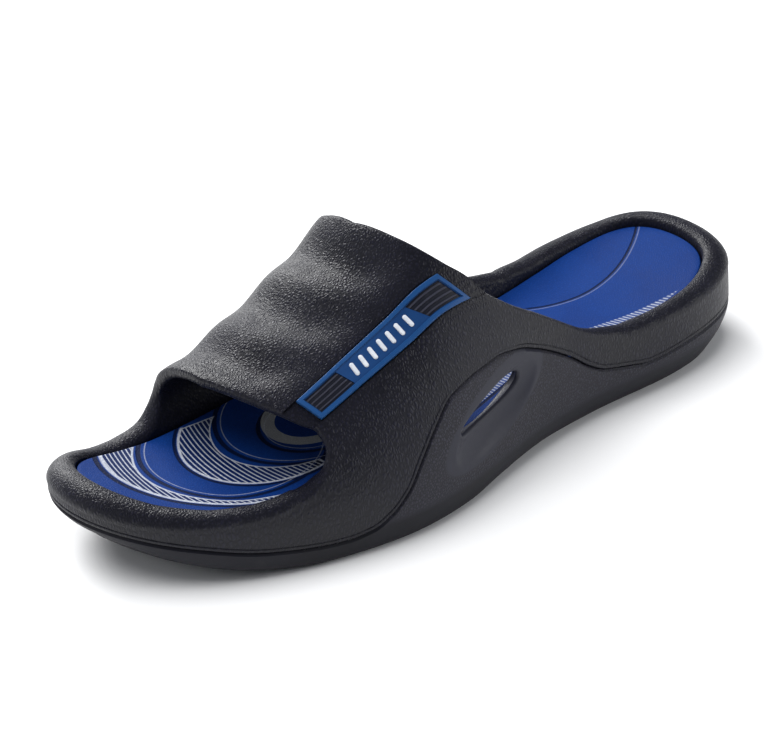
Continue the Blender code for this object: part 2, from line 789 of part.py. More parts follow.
def scoop_cutter(collection):
    """Flattened ball that hollows the wall round the vent."""
    shape = bmesh.new()
    rings = SCOOP_SEGMENTS // 2
    ball = bmesh.ops.create_uvsphere(shape, u_segments=SCOOP_SEGMENTS, v_segments=rings, radius=0.5)
    scale = Matrix.Diagonal((SCOOP_LENGTH, SCOOP_WIDTH, SCOOP_BALL, 1.0))
    frame = side_frame(SCOOP_PLACE, SCOOP_CENTRE, SCOOP_TILT)
    lift = Matrix.Translation((0.0, 0.0, SCOOP_BALL / 2.0 - SCOOP_DEPTH))
    bmesh.ops.transform(shape, matrix=frame @ lift @ scale, verts=ball["verts"])
    return mesh_object("scoop_cutter", shape, None, collection)


def vent_cutter(collection):
    """Almond-shaped plug that goes right through the wall."""
    curve = bpy.data.curves.new("vent_outline", "CURVE")
    curve.dimensions = "2D"
    curve.fill_mode = "BOTH"
    curve.extrude = VENT_REACH
    line = curve.splines.new("POLY")
    line.points.add(VENT_SEGMENTS - 1)
    for k in range(VENT_SEGMENTS):
        turn = 2.0 * math.pi * k / VENT_SEGMENTS
        reach = VENT_LENGTH / 2.0 * math.cos(turn)
        half = VENT_WIDTH / 2.0 * math.sin(turn) * (1.0 + VENT_SKEW * math.cos(turn))
        line.points[k].co = (reach, half, 0.0, 1.0)
    line.use_cyclic_u = True
    guide = bpy.data.objects.new("vent_outline", curve)
    collection.objects.link(guide)
    bpy.context.view_layer.update()
    flat = bpy.data.meshes.new_from_object(guide.evaluated_get(bpy.context.evaluated_depsgraph_get()))
    shape = bmesh.new()
    shape.from_mesh(flat)
    bmesh.ops.remove_doubles(shape, verts=shape.verts, dist=WELD)
    frame = side_frame(VENT_PLACE, VENT_CENTRE, VENT_TILT)
    bmesh.ops.transform(shape, matrix=frame, verts=shape.verts)
    bpy.data.objects.remove(guide)
    bpy.data.meshes.remove(flat)
    return mesh_object("vent_cutter", shape, None, collection)


def tread_cutter(collection):
    """Bars that cut the cross grooves under heel and forefoot."""
    shape = bmesh.new()
    for start, end in TREAD_FIELDS:
        count = int((end - start) * LENGTH / GROOVE_PITCH)
        for k in range(count + 1):
            along = mix(start, end, k / count)
            low = outline_at(along, 0)[1] + GROOVE_MARGIN
            high = outline_at(along, 1)[1] - GROOVE_MARGIN
            spot = place((along * LENGTH, (low + high) / 2.0), 0.0)
            size = Matrix.Diagonal((GROOVE_WIDTH, high - low, 2.0 * GROOVE_DEPTH, 1.0))
            bmesh.ops.create_cube(shape, size=1.0, matrix=Matrix.Translation(Vector(spot)) @ size)
    return mesh_object("tread_cutter", shape, None, collection)


def badge_path(share):
    """Place along and angle on the badge's middle line, from its front end, 0, to its rear end, 1."""
    along = mix(BADGE_FRONT, BADGE_REAR, share)
    arch = 4.0 * BADGE_ARCH * share * (1.0 - share)
    return along, math.radians(mix(BADGE_FRONT_ANGLE, BADGE_REAR_ANGLE, share) + arch)


def badge_frames(start, end, steps):
    """Points on the badge's middle line with the directions along it, across it and out of the strap."""
    frames = []
    for k in range(steps + 1):
        share = mix(start, end, k / steps)
        along, angle = badge_path(share)
        spot = strap_skin(along, angle, 0)
        ahead = strap_skin(*badge_path(share + SLOPE_STEP), 0)
        above = strap_skin(along, angle + SLOPE_STEP, 0)
        run = unit(ahead - spot)
        out = unit(np.cross(run, above - spot))
        out = out if out[1] < 0.0 else -out
        across = np.cross(out, run) - run * mix(BADGE_LEAN[0], BADGE_LEAN[1], share)
        frames.append((spot, across * mix(BADGE_SPREAD[0], BADGE_SPREAD[1], share), out))
    return frames


def badge_slab(name, start, end, width, low, high, look, collection):
    """Strip on the strap between two shares of the badge's length and two heights over the strap."""
    skin = Skin()
    sections = []
    for spot, across, out in badge_frames(start, end, BADGE_STEPS):
        section = []
        for level, flip in ((low, 1.0), (high, -1.0)):
            for step in (-1.0, -0.5, 0.0, 0.5, 1.0):
                reach = flip * step * width / 2.0
                sag = reach * reach / (2.0 * STRAP_RISE)
                section.append(spot + across * reach + out * (level - sag))
        sections.append(section + section[:1])
    skin.patch(sections)
    for ends in (sections[0], sections[-1]):
        half = (len(ends) - 1) // 2
        skin.patch([ends[:half], ends[half:2 * half][::-1]])
    return skin.body(name, look, collection)


UPPER_LOOK = ((0.022, 0.023, 0.030), 0.5)
SOLE_LOOK = ((0.020, 0.021, 0.028), 0.52)
INSOLE_LOOK = ((0.020, 0.080, 0.380), 0.5)
BADGE_LOOK = ((0.012, 0.080, 0.300), 0.4)
PANEL_LOOK = ((0.012, 0.016, 0.030), 0.45)


def make_badge(upper, parts, cutters):
    """The blue strip in its channel across the strap, with a dark panel let into each end."""
    channel_width = BADGE_WIDTH + 4.0 * CLEARANCE
    start, end = CHANNEL_ENDS
    channel = badge_slab(
        "channel_cutter", start, end, channel_width, -CHANNEL_DEPTH, CHANNEL_REACH, None, cutters,
    )
    cut(upper, channel)
    low = CLEARANCE - CHANNEL_DEPTH
    badge = badge_slab("badge", 0.0, 1.0, BADGE_WIDTH, low, BADGE_PROUD, BADGE_LOOK, parts)
    first = (BADGE_BORDER + CLEARANCE) / BADGE_LENGTH
    panel = PANEL_LENGTH / BADGE_LENGTH
    ends = (("front", first, first + panel), ("rear", 1.0 - first - panel, 1.0 - first))
    gap = CLEARANCE / BADGE_LENGTH
    floor = BADGE_PROUD - PANEL_DEPTH
    for end, start, stop in ends:
        pocket = badge_slab(
            "pocket_cutter_" + end, start - gap, stop + gap, PANEL_WIDTH + 2.0 * CLEARANCE,
            floor, BADGE_PROUD + PANEL_DEPTH, None, cutters,
        )
        cut(badge, pocket)
        name = "badge_panel_" + end
        badge_slab(name, start, stop, PANEL_WIDTH, floor + CLEARANCE, BADGE_PROUD, PANEL_LOOK, parts)


def build():
    """Make the sandal."""
    for thing in list(bpy.data.objects):
        bpy.data.objects.remove(thing)
    parts = bpy.data.collections.new("sport_slide_sandal")
    cutters = bpy.data.collections.new("cutters")
    bpy.context.scene.collection.children.link(parts)
    bpy.context.scene.collection.children.link(cutters)
    upper = upper_body(parts)
    sole = ring_body("sole", sole_profile, SOLE_LOOK, parts)
    ring_body("insole", insole_profile, INSOLE_LOOK, parts)
    cut(sole, scoop_cutter(cutters))
    cut(sole, vent_cutter(cutters))
    cut(sole, tread_cutter(cutters))
    make_badge(upper, parts, cutters)


build()
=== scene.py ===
"""Looks of the sport slide sandal: its moulded skins at full smoothness, its badge and its finishes.

Places follow the part: x to the heel, -y to the outer side, z up. Sizes are in metres, and a place along
the foot is measured from the back of the heel.
"""
import json
import math

import bmesh
import bpy
import numpy as np
from mathutils import Matrix, Vector

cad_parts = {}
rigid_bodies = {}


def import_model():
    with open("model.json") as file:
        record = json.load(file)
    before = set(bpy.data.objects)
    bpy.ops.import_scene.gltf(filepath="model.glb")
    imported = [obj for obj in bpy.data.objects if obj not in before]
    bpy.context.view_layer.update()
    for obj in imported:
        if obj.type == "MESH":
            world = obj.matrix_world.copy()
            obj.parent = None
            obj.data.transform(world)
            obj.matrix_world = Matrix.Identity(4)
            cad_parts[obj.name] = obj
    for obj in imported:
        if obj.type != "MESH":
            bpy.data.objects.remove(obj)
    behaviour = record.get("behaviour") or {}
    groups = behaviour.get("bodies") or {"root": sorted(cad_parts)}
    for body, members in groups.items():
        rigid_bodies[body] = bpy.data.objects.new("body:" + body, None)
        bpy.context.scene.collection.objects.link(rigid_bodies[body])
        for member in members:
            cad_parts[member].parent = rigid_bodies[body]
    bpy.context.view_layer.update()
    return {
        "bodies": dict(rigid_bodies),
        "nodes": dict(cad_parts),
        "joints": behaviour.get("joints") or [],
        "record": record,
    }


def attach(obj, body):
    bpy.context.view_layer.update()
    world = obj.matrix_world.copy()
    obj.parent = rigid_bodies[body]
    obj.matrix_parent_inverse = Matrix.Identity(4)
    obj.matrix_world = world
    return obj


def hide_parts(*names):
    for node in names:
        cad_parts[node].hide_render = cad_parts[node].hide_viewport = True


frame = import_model()

# Driving sizes of the part
LENGTH = 0.2875
BALL_WIDTH = 0.100
FOOTBED_HEIGHT = 0.025
RIM_HEIGHT = 0.032
PARTING_HEIGHT = 0.016
HUMP_HEIGHT = 0.0335
WIDEST_HEIGHT = 0.018
TOE_SPRING = 0.0175
STRAP_RISE = 0.075
FOOT_WALL = 0.0098
STRAP_WALL = 0.0045
WALL_TAPER = 0.018
UNDERCUT = 0.0052
RIPPLE_DEPTH = 0.0023
DISH_DEPTH = 0.003
INSOLE_THICKNESS = 0.0035
INSOLE_EDGE = 0.0007
CLEARANCE = 0.0003
FLOOR_CLEARANCE = 0.0005
PARTING_GROOVE = 0.0009
SOLE_EDGE_ROUND = 0.003
GROOVE_WIDTH = 0.003
GROOVE_DEPTH = 0.0015
GROOVE_PITCH = 0.0095
GROOVE_MARGIN = 0.013
FLOOR_SIZE = 12.0
VENT_LENGTH = 0.036
VENT_WIDTH = 0.0088
VENT_LIP = 0.0014
VENT_DROP = 0.0025
VENT_FLARE = 0.0012
SCOOP_LENGTH = 0.062
SCOOP_WIDTH = 0.0250
SCOOP_BALL = 0.0124
SCOOP_DEPTH = 0.0031
CHANNEL_DEPTH = 0.0010
CHANNEL_REACH = 0.004
BADGE_LENGTH = 0.0667
BADGE_WIDTH = 0.0120
BADGE_PROUD = 0.0010
BADGE_BORDER = 0.0018
PANEL_START = BADGE_BORDER + CLEARANCE
BADGE_SINK = 0.00045
BADGE_ROUND = 0.00035
BADGE_BEVEL = 0.0003
ROUND_MARKS = (0.0, 0.000035, 0.000105, 0.00021, BADGE_ROUND)
PANEL_LENGTH = 0.0145
PANEL_WIDTH = 0.0078
PANEL_DEPTH = 0.0007
RIB_HEIGHT = 0.00035
PIP_LENGTH = 0.0052
PIP_WIDTH = 0.0017
PIP_HEIGHT = 0.0005
STEEP = 0.00002
WELD = 0.00001

# Numbers without a unit
LATERAL_POWER = 2.0
MEDIAL_POWER = 2.5
UNDERCUT_POWER = 2.5
EDGE_CROWN = 0.33
VENT_SKEW = 0.25
SLOPE_STEP = 0.002
RIPPLES = 3
RIB_SHAPE = (2.0, 0.7)

# Widest outline: along as a share of LENGTH, across as a share of BALL_WIDTH
OUTLINE = (
    (0.000, 0.00), (0.028, -0.26), (0.125, -0.40), (0.296, -0.40), (0.438, -0.44),
    (0.630, -0.54), (0.769, -0.47), (0.883, -0.33), (0.974, -0.09), (1.000, 0.14),
    (0.967, 0.40), (0.856, 0.45), (0.710, 0.46), (0.574, 0.46), (0.435, 0.37),
    (0.296, 0.34), (0.125, 0.38), (0.021, 0.23),
)

# Footbed: along, edge height as a share of FOOTBED_HEIGHT, dish as a share of DISH_DEPTH
FOOTBED = (
    (0.000, 1.43, 0.2), (0.070, 1.26, 0.7), (0.140, 1.10, 1.0), (0.210, 1.01, 0.9),
    (0.420, 0.97, 0.3), (0.630, 0.99, 0.5), (0.820, 0.94, 0.6), (0.880, 1.00, 0.4),
    (0.940, 1.14, 0.2), (1.000, 1.34, 0.1),
)

# Bottom: along, height as a share of TOE_SPRING, flat at heel and forefoot, share of UNDERCUT
BOTTOM = (
    (0.000, 0.52, 1.50), (0.035, 0.31, 1.50), (0.075, 0.12, 1.35), (0.125, 0.00, 1.15),
    (0.320, 0.00, 0.95), (0.420, 0.06, 0.80), (0.500, 0.04, 0.65), (0.560, 0.00, 0.50),
    (0.775, 0.00, 0.55), (0.817, 0.07, 0.60), (0.863, 0.20, 0.65), (0.905, 0.38, 0.70),
    (0.940, 0.58, 0.80), (0.975, 0.81, 0.95), (1.000, 0.98, 1.00),
)

# Rim: along, outer and inner crest as shares of RIM_HEIGHT, outward tilt as a share of RIM_HEIGHT
RIM = (
    (0.000, 1.150, 1.150, 0.125), (0.035, 1.120, 1.080, 0.110), (0.090, 1.065, 0.980, 0.060),
    (0.140, 1.030, 0.945, 0.040), (0.210, 1.015, 0.935, 0.030), (0.265, 1.030, 0.985, 0.030),
    (0.790, 0.985, 0.850, 0.040), (0.820, 0.920, 0.830, 0.045), (0.855, 0.880, 0.815, 0.050),
    (0.900, 0.880, 0.820, 0.070), (0.940, 0.930, 0.865, 0.100), (0.975, 1.000, 0.950, 0.140),
    (1.000, 1.045, 1.045, 0.160),
)

# Parting line: along, outer and inner height as shares of PARTING_HEIGHT, hump as a share of HUMP_HEIGHT
PARTING = (
    (0.000, 1.06, 1.06, 0.00), (0.140, 1.00, 1.00, 0.00), (0.222, 0.92, 0.95, 0.00),
    (0.261, 0.98, 0.93, 0.04), (0.299, 1.02, 0.92, 0.11), (0.327, 1.02, 0.90, 0.25),
    (0.355, 1.02, 0.88, 0.45), (0.385, 1.02, 0.86, 0.63), (0.414, 1.02, 0.84, 0.78),
    (0.452, 1.01, 0.80, 0.93), (0.495, 1.00, 0.75, 1.00), (0.535, 0.96, 0.72, 0.995),
    (0.575, 0.90, 0.70, 0.945), (0.612, 0.84, 0.68, 0.735), (0.640, 0.78, 0.67, 0.51),
    (0.667, 0.72, 0.66, 0.24), (0.690, 0.64, 0.65, 0.10), (0.715, 0.55, 0.65, 0.03),
    (0.748, 0.53, 0.65, 0.00), (0.840, 0.70, 0.75, 0.00), (0.918, 1.03, 1.05, 0.00),
    (0.950, 1.18, 1.18, 0.00), (0.985, 1.36, 1.36, 0.00), (1.000, 1.44, 1.44, 0.00),
)

# Strap section: along, rise as a share of STRAP_RISE, crown's place as a share of BALL_WIDTH,
# widest height as a share of WIDEST_HEIGHT
SECTION = (
    (0.000, 1.307, 0.06, 1.00), (0.209, 1.307, 0.06, 1.00), (0.348, 1.280, 0.06, 1.00),
    (0.452, 1.227, 0.06, 1.00), (0.504, 1.133, 0.06, 1.00), (0.557, 1.020, 0.07, 1.00),
    (0.609, 0.867, 0.08, 1.00), (0.696, 0.680, 0.09, 1.00), (0.748, 0.593, 0.09, 1.00),
    (0.817, 0.493, 0.10, 1.00), (0.870, 0.430, 0.11, 1.04), (0.904, 0.400, 0.12, 1.10),
    (0.950, 0.400, 0.12, 1.22), (1.000, 0.400, 0.12, 1.36),
)

# Strap edges: share of the way from the rim up to the crown, then the edge's place along,
# front edge on the outer and inner side, rear edge on the outer and inner side
EDGES = (
    (0.000, 0.790, 0.870, 0.257, 0.271), (0.025, 0.778, 0.836, 0.292, 0.330),
    (0.060, 0.770, 0.820, 0.325, 0.388), (0.110, 0.757, 0.811, 0.358, 0.437),
    (0.180, 0.749, 0.804, 0.400, 0.478), (0.270, 0.742, 0.801, 0.450, 0.507),
    (0.360, 0.743, 0.801, 0.483, 0.526), (0.460, 0.757, 0.803, 0.502, 0.541),
    (0.560, 0.769, 0.804, 0.523, 0.552), (0.680, 0.782, 0.804, 0.541, 0.561),
    (0.820, 0.793, 0.804, 0.556, 0.567), (1.000, 0.803, 0.803, 0.568, 0.568),
)

# Columns and rows of the skins
COARSE_COLUMNS = 24
COARSE_WALL = 3
COARSE_STRAP = 15
SETTLING = (500, 160, 60)
CAP_COLUMNS = 90
CAP_BLEND = 16
EDGE_ROWS = 12
SOLE_COLUMNS = 192
SOLE_CAP = 120
UNDER_ROWS = 12
CORNER_ROWS = 6
SIDE_ROWS = 48
CORE_ROWS = 30
INSOLE_ROWS = 30
VENT_ROWS = 8
LIP_ROWS = 5
BADGE_STEPS = 60
BADGE_LINES = 6
PANEL_STEPS = 20
PANEL_LINES = 40
PLACE_STEPS = 6
RIBS = 4
PIPS = 7
OUTLINE_POINTS = 2880
ROUNDING = 8
SHARP_ANGLE = 40.0

# Places: shares of LENGTH along, heights in metres, tilts in degrees and angles round the strap
HEEL_HUB = 0.148
TOE_HUB = 0.870
VENT_PLACE = 0.5130
VENT_CENTRE = 0.0345
VENT_TILT = 10.5
SCOOP_PLACE = 0.5080
SCOOP_CENTRE = 0.0315
SCOOP_TILT = 20.0
BADGE_FRONT = 0.7430
BADGE_FRONT_ANGLE = 49.5
BADGE_REAR = 0.5225
BADGE_REAR_ANGLE = 46.2
BADGE_ARCH = 3.6
BADGE_SPREAD = (0.89, 1.08)
BADGE_LEAN = (0.17, 0.57)
CHANNEL_ENDS = (-0.25, 1.25)
RIPPLE_FADE = ((58.0, 76.0), (22.0, 45.0))
TREAD_FIELDS = ((0.125, 0.300), (0.575, 0.765))
PIP_LEAN = 25.0
PIP_SPAN = (0.315, 0.685)
PIP_TURNS = 28
PIP_ROWS = 6
PIP_DIGITS = 6

# Printed crescents on the footbed: centre and radii of the outer and of the inner edge, along and across,
# and two places on the straight end
CRESCENTS = (
    (
        (0.1722, 0.0210), (0.0920, 0.0585), (0.1910, 0.0142), (0.0652, 0.0449),
        (0.2469, 0.0371), (0.2572, 0.0416),
    ),
    (
        (0.2071, 0.0125), (0.0308, 0.0308), (0.1972, 0.0125), (0.0275, 0.0275),
        (0.2145, 0.0349), (0.2268, 0.0363),
    ),
)
PRINT_BACK = 0.203
EDGE_LINE = 0.0010
HATCH_PITCH = 0.0017
HATCH_BEND = 4.0
SOFTNESS = 0.00012

# Moulded rings in the footbed: centre along and across, and radius
GROOVES = (
    ((0.2191, 0.0144), 0.0341),
    ((0.1897, 0.0132), 0.0314),
    ((0.1906, 0.0071), 0.0186),
)
GROOVES_FADE = 0.030
RING_CENTRE = (0.1895, 0.0100)
RING_RADII = (0.0118, 0.0168)
HEEL_ARC = ((0.0514, 0.0647), 0.0567)
HEEL_ARC_END = 0.080
HEEL_WEDGE = ((0.0345, -0.0220), (0.0800, -0.0122), (0.0745, -0.0272))
ARCH_WEDGE = ((0.1510, -0.0305), (0.1000, -0.0150), (0.1400, -0.0115))
ARCH_REACH = (0.125, 0.050)

# Lines of the footbed: how far each lies outside its ring, crescent or wedge, and its width
RING_GROOVE = (0.0, 0.0016)
# Painted highlight on the step inside each ring groove
RING_EDGE_HIGHLIGHT = (-0.0022, 0.0004)
CRESCENT_GROOVE = (0.0014, 0.0011)
ARC_GROOVE = (0.0, 0.0009)
# Painted highlight on the edge beside the heel arc's groove
ARC_EDGE_HIGHLIGHT = (0.0012, 0.0005)
ARCH_GROOVE = (0.0009, 0.0012)

# Grain: pitches, and how far it is stretched
GRAIN_PITCH = 0.0011
GRAIN_STRETCH = (1.0, 1.0, 0.42)
PEBBLE_PITCH = 0.00095
PEBBLE_STRETCH = (1.0, 1.0, 0.75)
SCRATCH_PITCH = 0.0011
SCRATCH_STRETCH = (4.0, 1.0, 1.0)
FOAM_PITCH = 0.0009
SATIN_PITCH = 0.0005
BOARD_PITCH = 0.002
TREAD_PITCH = 0.0024

# Where the sole's finishes start and where they are full
OUTER_SIDE = (-0.020, -0.030)
SCOOP_EDGE = (0.262, 0.235)
TOE_RISE = (-0.085, -0.150)
HEEL_RISE = (0.115, 0.150)
TEXTURE_HEIGHT = (0.009, 0.014)
FACING_DOWN = (-0.80, -0.95)

# Finishes: specular level, depth of relief, size of the patches, the noise where a patch starts and where
# it is full, and the two tones of the ground
FINISHES = {
    "grained_rubber": (0.32, 0.00017, 0.030, 0.35, 0.65, (0.0055, 0.0055, 0.0125), (0.0080, 0.0080, 0.0185)),
    "moulded_rubber": (0.30, 0.00015, 0.025, 0.35, 0.65, (0.0030, 0.0030, 0.0070), (0.0045, 0.0045, 0.0100)),
    "printed_foam": (0.10, 0.00016, 0.028, 0.30, 0.70, (0.0034, 0.0290, 0.1640), (0.0047, 0.0370, 0.1980)),
    "satin_blue_rubber": (0.30, 0.00006, 0.012, 0.35, 0.65, (0.006, 0.037, 0.130), (0.008, 0.044, 0.150)),
    # The ribbed rubber's second tone is the painted highlight on the ribs' crests
    "dark_ribbed_rubber": (0.35, 0.00005, 0.004, 0.50, 0.80, (0.007, 0.008, 0.015), (0.038, 0.039, 0.056)),
    "white_rubber": (0.40, 0.00004, 0.0024, 0.40, 0.70, (0.62, 0.65, 0.70), (0.74, 0.76, 0.80)),
    "pale_board": (0.20, 0.00003, 0.4, 0.0, 1.0, (0.88, 0.88, 0.885), (0.92, 0.92, 0.92)),
}

# Other tones on the finishes
# Lighter spots on the upper's raised grain: patchy wear, plus painted light on faces turned up
RUBBED_AND_TOP_LIT_RUBBER = (0.016, 0.016, 0.027)
# Painted shade in the creases of the upper's grain and between the sole's pebbles
CREASE_SHADE = (0.002, 0.002, 0.003)
PEBBLES = (0.0300, 0.0295, 0.0460)
# Painted light: the scoop's smooth face, made lighter where light falls on it
SCOOP_LIT_FACE = (0.0200, 0.0210, 0.0350)
SCUFF = (0.020, 0.020, 0.024)
PRINT_DARK = (0.0030, 0.0150, 0.0820)
# White of the print, also used for the painted highlights beside the footbed's grooves
PRINT_AND_HIGHLIGHT_WHITE = (0.52, 0.55, 0.62)
RING_GREY = (0.34, 0.35, 0.36)
# Painted shade in the footbed's moulded grooves
GROOVE_SHADE = (0.0020, 0.0030, 0.0100)
# Painted shade in the footbed foam's pores
FOAM_PORE_SHADE = (0.004, 0.008, 0.030)
# Painted highlight on the badge's raised border
BADGE_EDGE_HIGHLIGHT = (0.0090, 0.0580, 0.1850)
BADGE_RUBBED = (0.06, 0.15, 0.35)
PANEL_RUBBED = (0.050, 0.052, 0.070)

# Bead over the parting line: height over the line and depth under the wall, as shares of PARTING_GROOVE
BEAD = (
    (0.00, 1.00), (0.15, 0.55), (0.45, 0.12), (0.90, 0.00), (1.45, 0.00),
    (1.65, 0.08), (1.85, 0.35), (2.05, 0.35), (2.25, 0.08), (2.50, 0.00),
)

# Camera: the photograph's angle, in degrees, metres and millimetres of lens
VIEW_AZIMUTH = -37.5
VIEW_ELEVATION = 30.1
VIEW_ROLL = -3.75
VIEW_DISTANCE = 1.030
VIEW_AIM = (0.0, 0.0, 0.020)
VIEW_RIGHT = -0.0113
VIEW_UP = 0.0076
VIEW_SHIFT = (0.00126, 0.00354, 0.0)
VIEW_LENS = 130.3

# Light: strength of the surroundings, and an even light from above with its strength and spread in degrees
WORLD_STRENGTH = 0.21
WORLD_COLOUR = (0.86, 0.91, 1.00, 1.0)
TOP_LIGHT = (-0.25, 0.25, 1.30)
TOP_STRENGTH = 3.05
TOP_SPREAD = 55.0

# Side lights: name, place, size across and power in watts
LIGHTS = (
    ("back_light", (0.15, 1.00, 0.64), 0.7, 14.0),
    ("left_light", (-1.00, 0.10, 0.70), 0.5, 1.2),
    ("right_light", (0.85, -0.85, 0.50), 0.6, 5.0),
)


def make_camera():
    """Camera at the photograph's angle."""
    turn = math.radians(VIEW_AZIMUTH)
    lift = math.radians(VIEW_ELEVATION)
    back = Vector((math.sin(turn) * math.cos(lift), -math.cos(turn) * math.cos(lift), math.sin(lift)))
    right = Vector((math.cos(turn), math.sin(turn), 0.0))
    up = back.cross(right)
    spot = Vector(VIEW_AIM) + Vector(VIEW_SHIFT) + right * VIEW_RIGHT + up * VIEW_UP + back * VIEW_DISTANCE
    basis = Matrix((right, up, back)).transposed().to_4x4()
    data = bpy.data.cameras.new("camera")
    data.lens = VIEW_LENS
    camera = bpy.data.objects.new("camera", data)
    camera.matrix_world = Matrix.Translation(spot) @ basis @ Matrix.Rotation(math.radians(VIEW_ROLL), 4, "Z")
    bpy.context.scene.collection.objects.link(camera)
    bpy.context.scene.camera = camera


def mix(first, second, share):
    """Value a share of the way from the first to the second."""
    return first + (second - first) * share


def ease(share):
    """Smooth step from 0 to 1."""
    share = np.clip(share, 0.0, 1.0)
    return share * share * (3.0 - 2.0 * share)


def unit(vectors):
    """Vectors of length one."""
    return vectors / np.linalg.norm(vectors, axis=-1, keepdims=True)


def track(rows, column):
    """Function that runs smoothly through a table's column and never swings past its values."""
    places = np.array([row[0] for row in rows])
    values = np.array([row[column] for row in rows])
    gaps = np.diff(places)
    climbs = np.diff(values) / gaps
    slopes = np.zeros(len(places))
    slopes[0] = climbs[0]
    slopes[-1] = climbs[-1]
    for k in range(1, len(places) - 1):
        if climbs[k - 1] * climbs[k] > 0.0:
            slopes[k] = 2.0 * climbs[k - 1] * climbs[k] / (climbs[k - 1] + climbs[k])

    def value(place):
        k = np.clip(np.searchsorted(places, place, side="right") - 1, 0, len(gaps) - 1)
        t = np.clip((place - places[k]) / gaps[k], 0.0, 1.0)
        start = (1.0 + 2.0 * t) * (1.0 - t) ** 2 * values[k] + t * (1.0 - t) ** 2 * gaps[k] * slopes[k]
        end = t * t * (3.0 - 2.0 * t) * values[k + 1] + t * t * (t - 1.0) * gaps[k] * slopes[k + 1]
        return start + end

    return value


bed_share = track(FOOTBED, 1)
dish_share = track(FOOTBED, 2)
bottom_share = track(BOTTOM, 1)
undercut_share = track(BOTTOM, 2)
crest_shares = (track(RIM, 1), track(RIM, 2))
tilt_share = track(RIM, 3)
line_shares = (track(PARTING, 1), track(PARTING, 2))
hump_share = track(PARTING, 3)
rise_share = track(SECTION, 1)
crown_share = track(SECTION, 2)
widest_share = track(SECTION, 3)
front_edges = (track(EDGES, 1), track(EDGES, 2))
rear_edges = (track(EDGES, 3), track(EDGES, 4))


def closed_spline(points, count):
    """Evenly spaced points on the smooth closed curve through the given ones."""
    size = len(points)
    spans = np.linalg.norm(np.roll(points, -1, 0) - points, axis=1)
    knots = np.concatenate([[0.0], np.cumsum(spans)])
    matrix = np.zeros((size, size))
    right = np.zeros((size, 2))
    for k in range(size):
        before = spans[k - 1]
        after = spans[k]
        matrix[k, k - 1] += before
        matrix[k, k] += 2.0 * (before + after)
        matrix[k, (k + 1) % size] += after
        climb = (points[(k + 1) % size] - points[k]) / after
        right[k] = 6.0 * (climb - (points[k] - points[k - 1]) / before)
    bends = np.linalg.solve(matrix, right)
    places = np.linspace(0.0, knots[-1], count, endpoint=False)
    k = np.minimum(np.searchsorted(knots, places, side="right") - 1, size - 1)
    after = (k + 1) % size
    left = (places - knots[k])[:, None]
    span = spans[k][:, None]
    rest = span - left
    curve = (bends[k] * rest ** 3 + bends[after] * left ** 3) / (6.0 * span)
    curve += (points[k] / span - bends[k] * span / 6.0) * rest
    curve += (points[after] / span - bends[after] * span / 6.0) * left
    return curve


def outline_halves():
    """The outline's outer half and inner half, each from the heel to the toe, and its middle."""
    points = np.array([(along * LENGTH, across * BALL_WIDTH) for along, across in OUTLINE])
    loop = closed_spline(points, OUTLINE_POINTS)
    loop = np.roll(loop, -int(np.argmin(loop[:, 0])), 0)
    tip = int(np.argmax(loop[:, 0]))
    outer = loop[:tip + 1]
    inner = np.vstack([loop[tip:], loop[:1]])[::-1]
    middle = (loop.min(0) + loop.max(0)) / 2.0
    return (outer, inner), middle


HALVES, MIDDLE = outline_halves()


def place(spot, height):
    """Points of the world from places along and across the foot and heights."""
    x = MIDDLE[0] - spot[..., 0]
    y = spot[..., 1] - MIDDLE[1]
    return np.stack(np.broadcast_arrays(x, y, height), axis=-1)


def outline_at(along, side):
    """Points of the widest outline at shares of the length, on the outer side, 0, or the inner side, 1."""
    half = HALVES[side]
    across = np.interp(along * LENGTH, half[:, 0], half[:, 1])
    return np.stack([along * LENGTH, across], axis=-1)


def bottom_height(spot):
    """Height of the bottom over the ground."""
    return TOE_SPRING * bottom_share(spot[..., 0] / LENGTH)


def bed_height(spot, share):
    """Height of the footbed's top, a share of the way from the middle line to its edge."""
    along = spot[..., 0] / LENGTH
    dish = DISH_DEPTH * dish_share(along) * (1.0 - share * share)
    return FOOTBED_HEIGHT * bed_share(along) - dish


def line_height(along, medial):
    """Height of the parting line, from the outer side, 0, to the inner side, 1."""
    share = mix(line_shares[0](along), line_shares[1](along), medial)
    return PARTING_HEIGHT * share + HUMP_HEIGHT * hump_share(along) * (1.0 - medial)


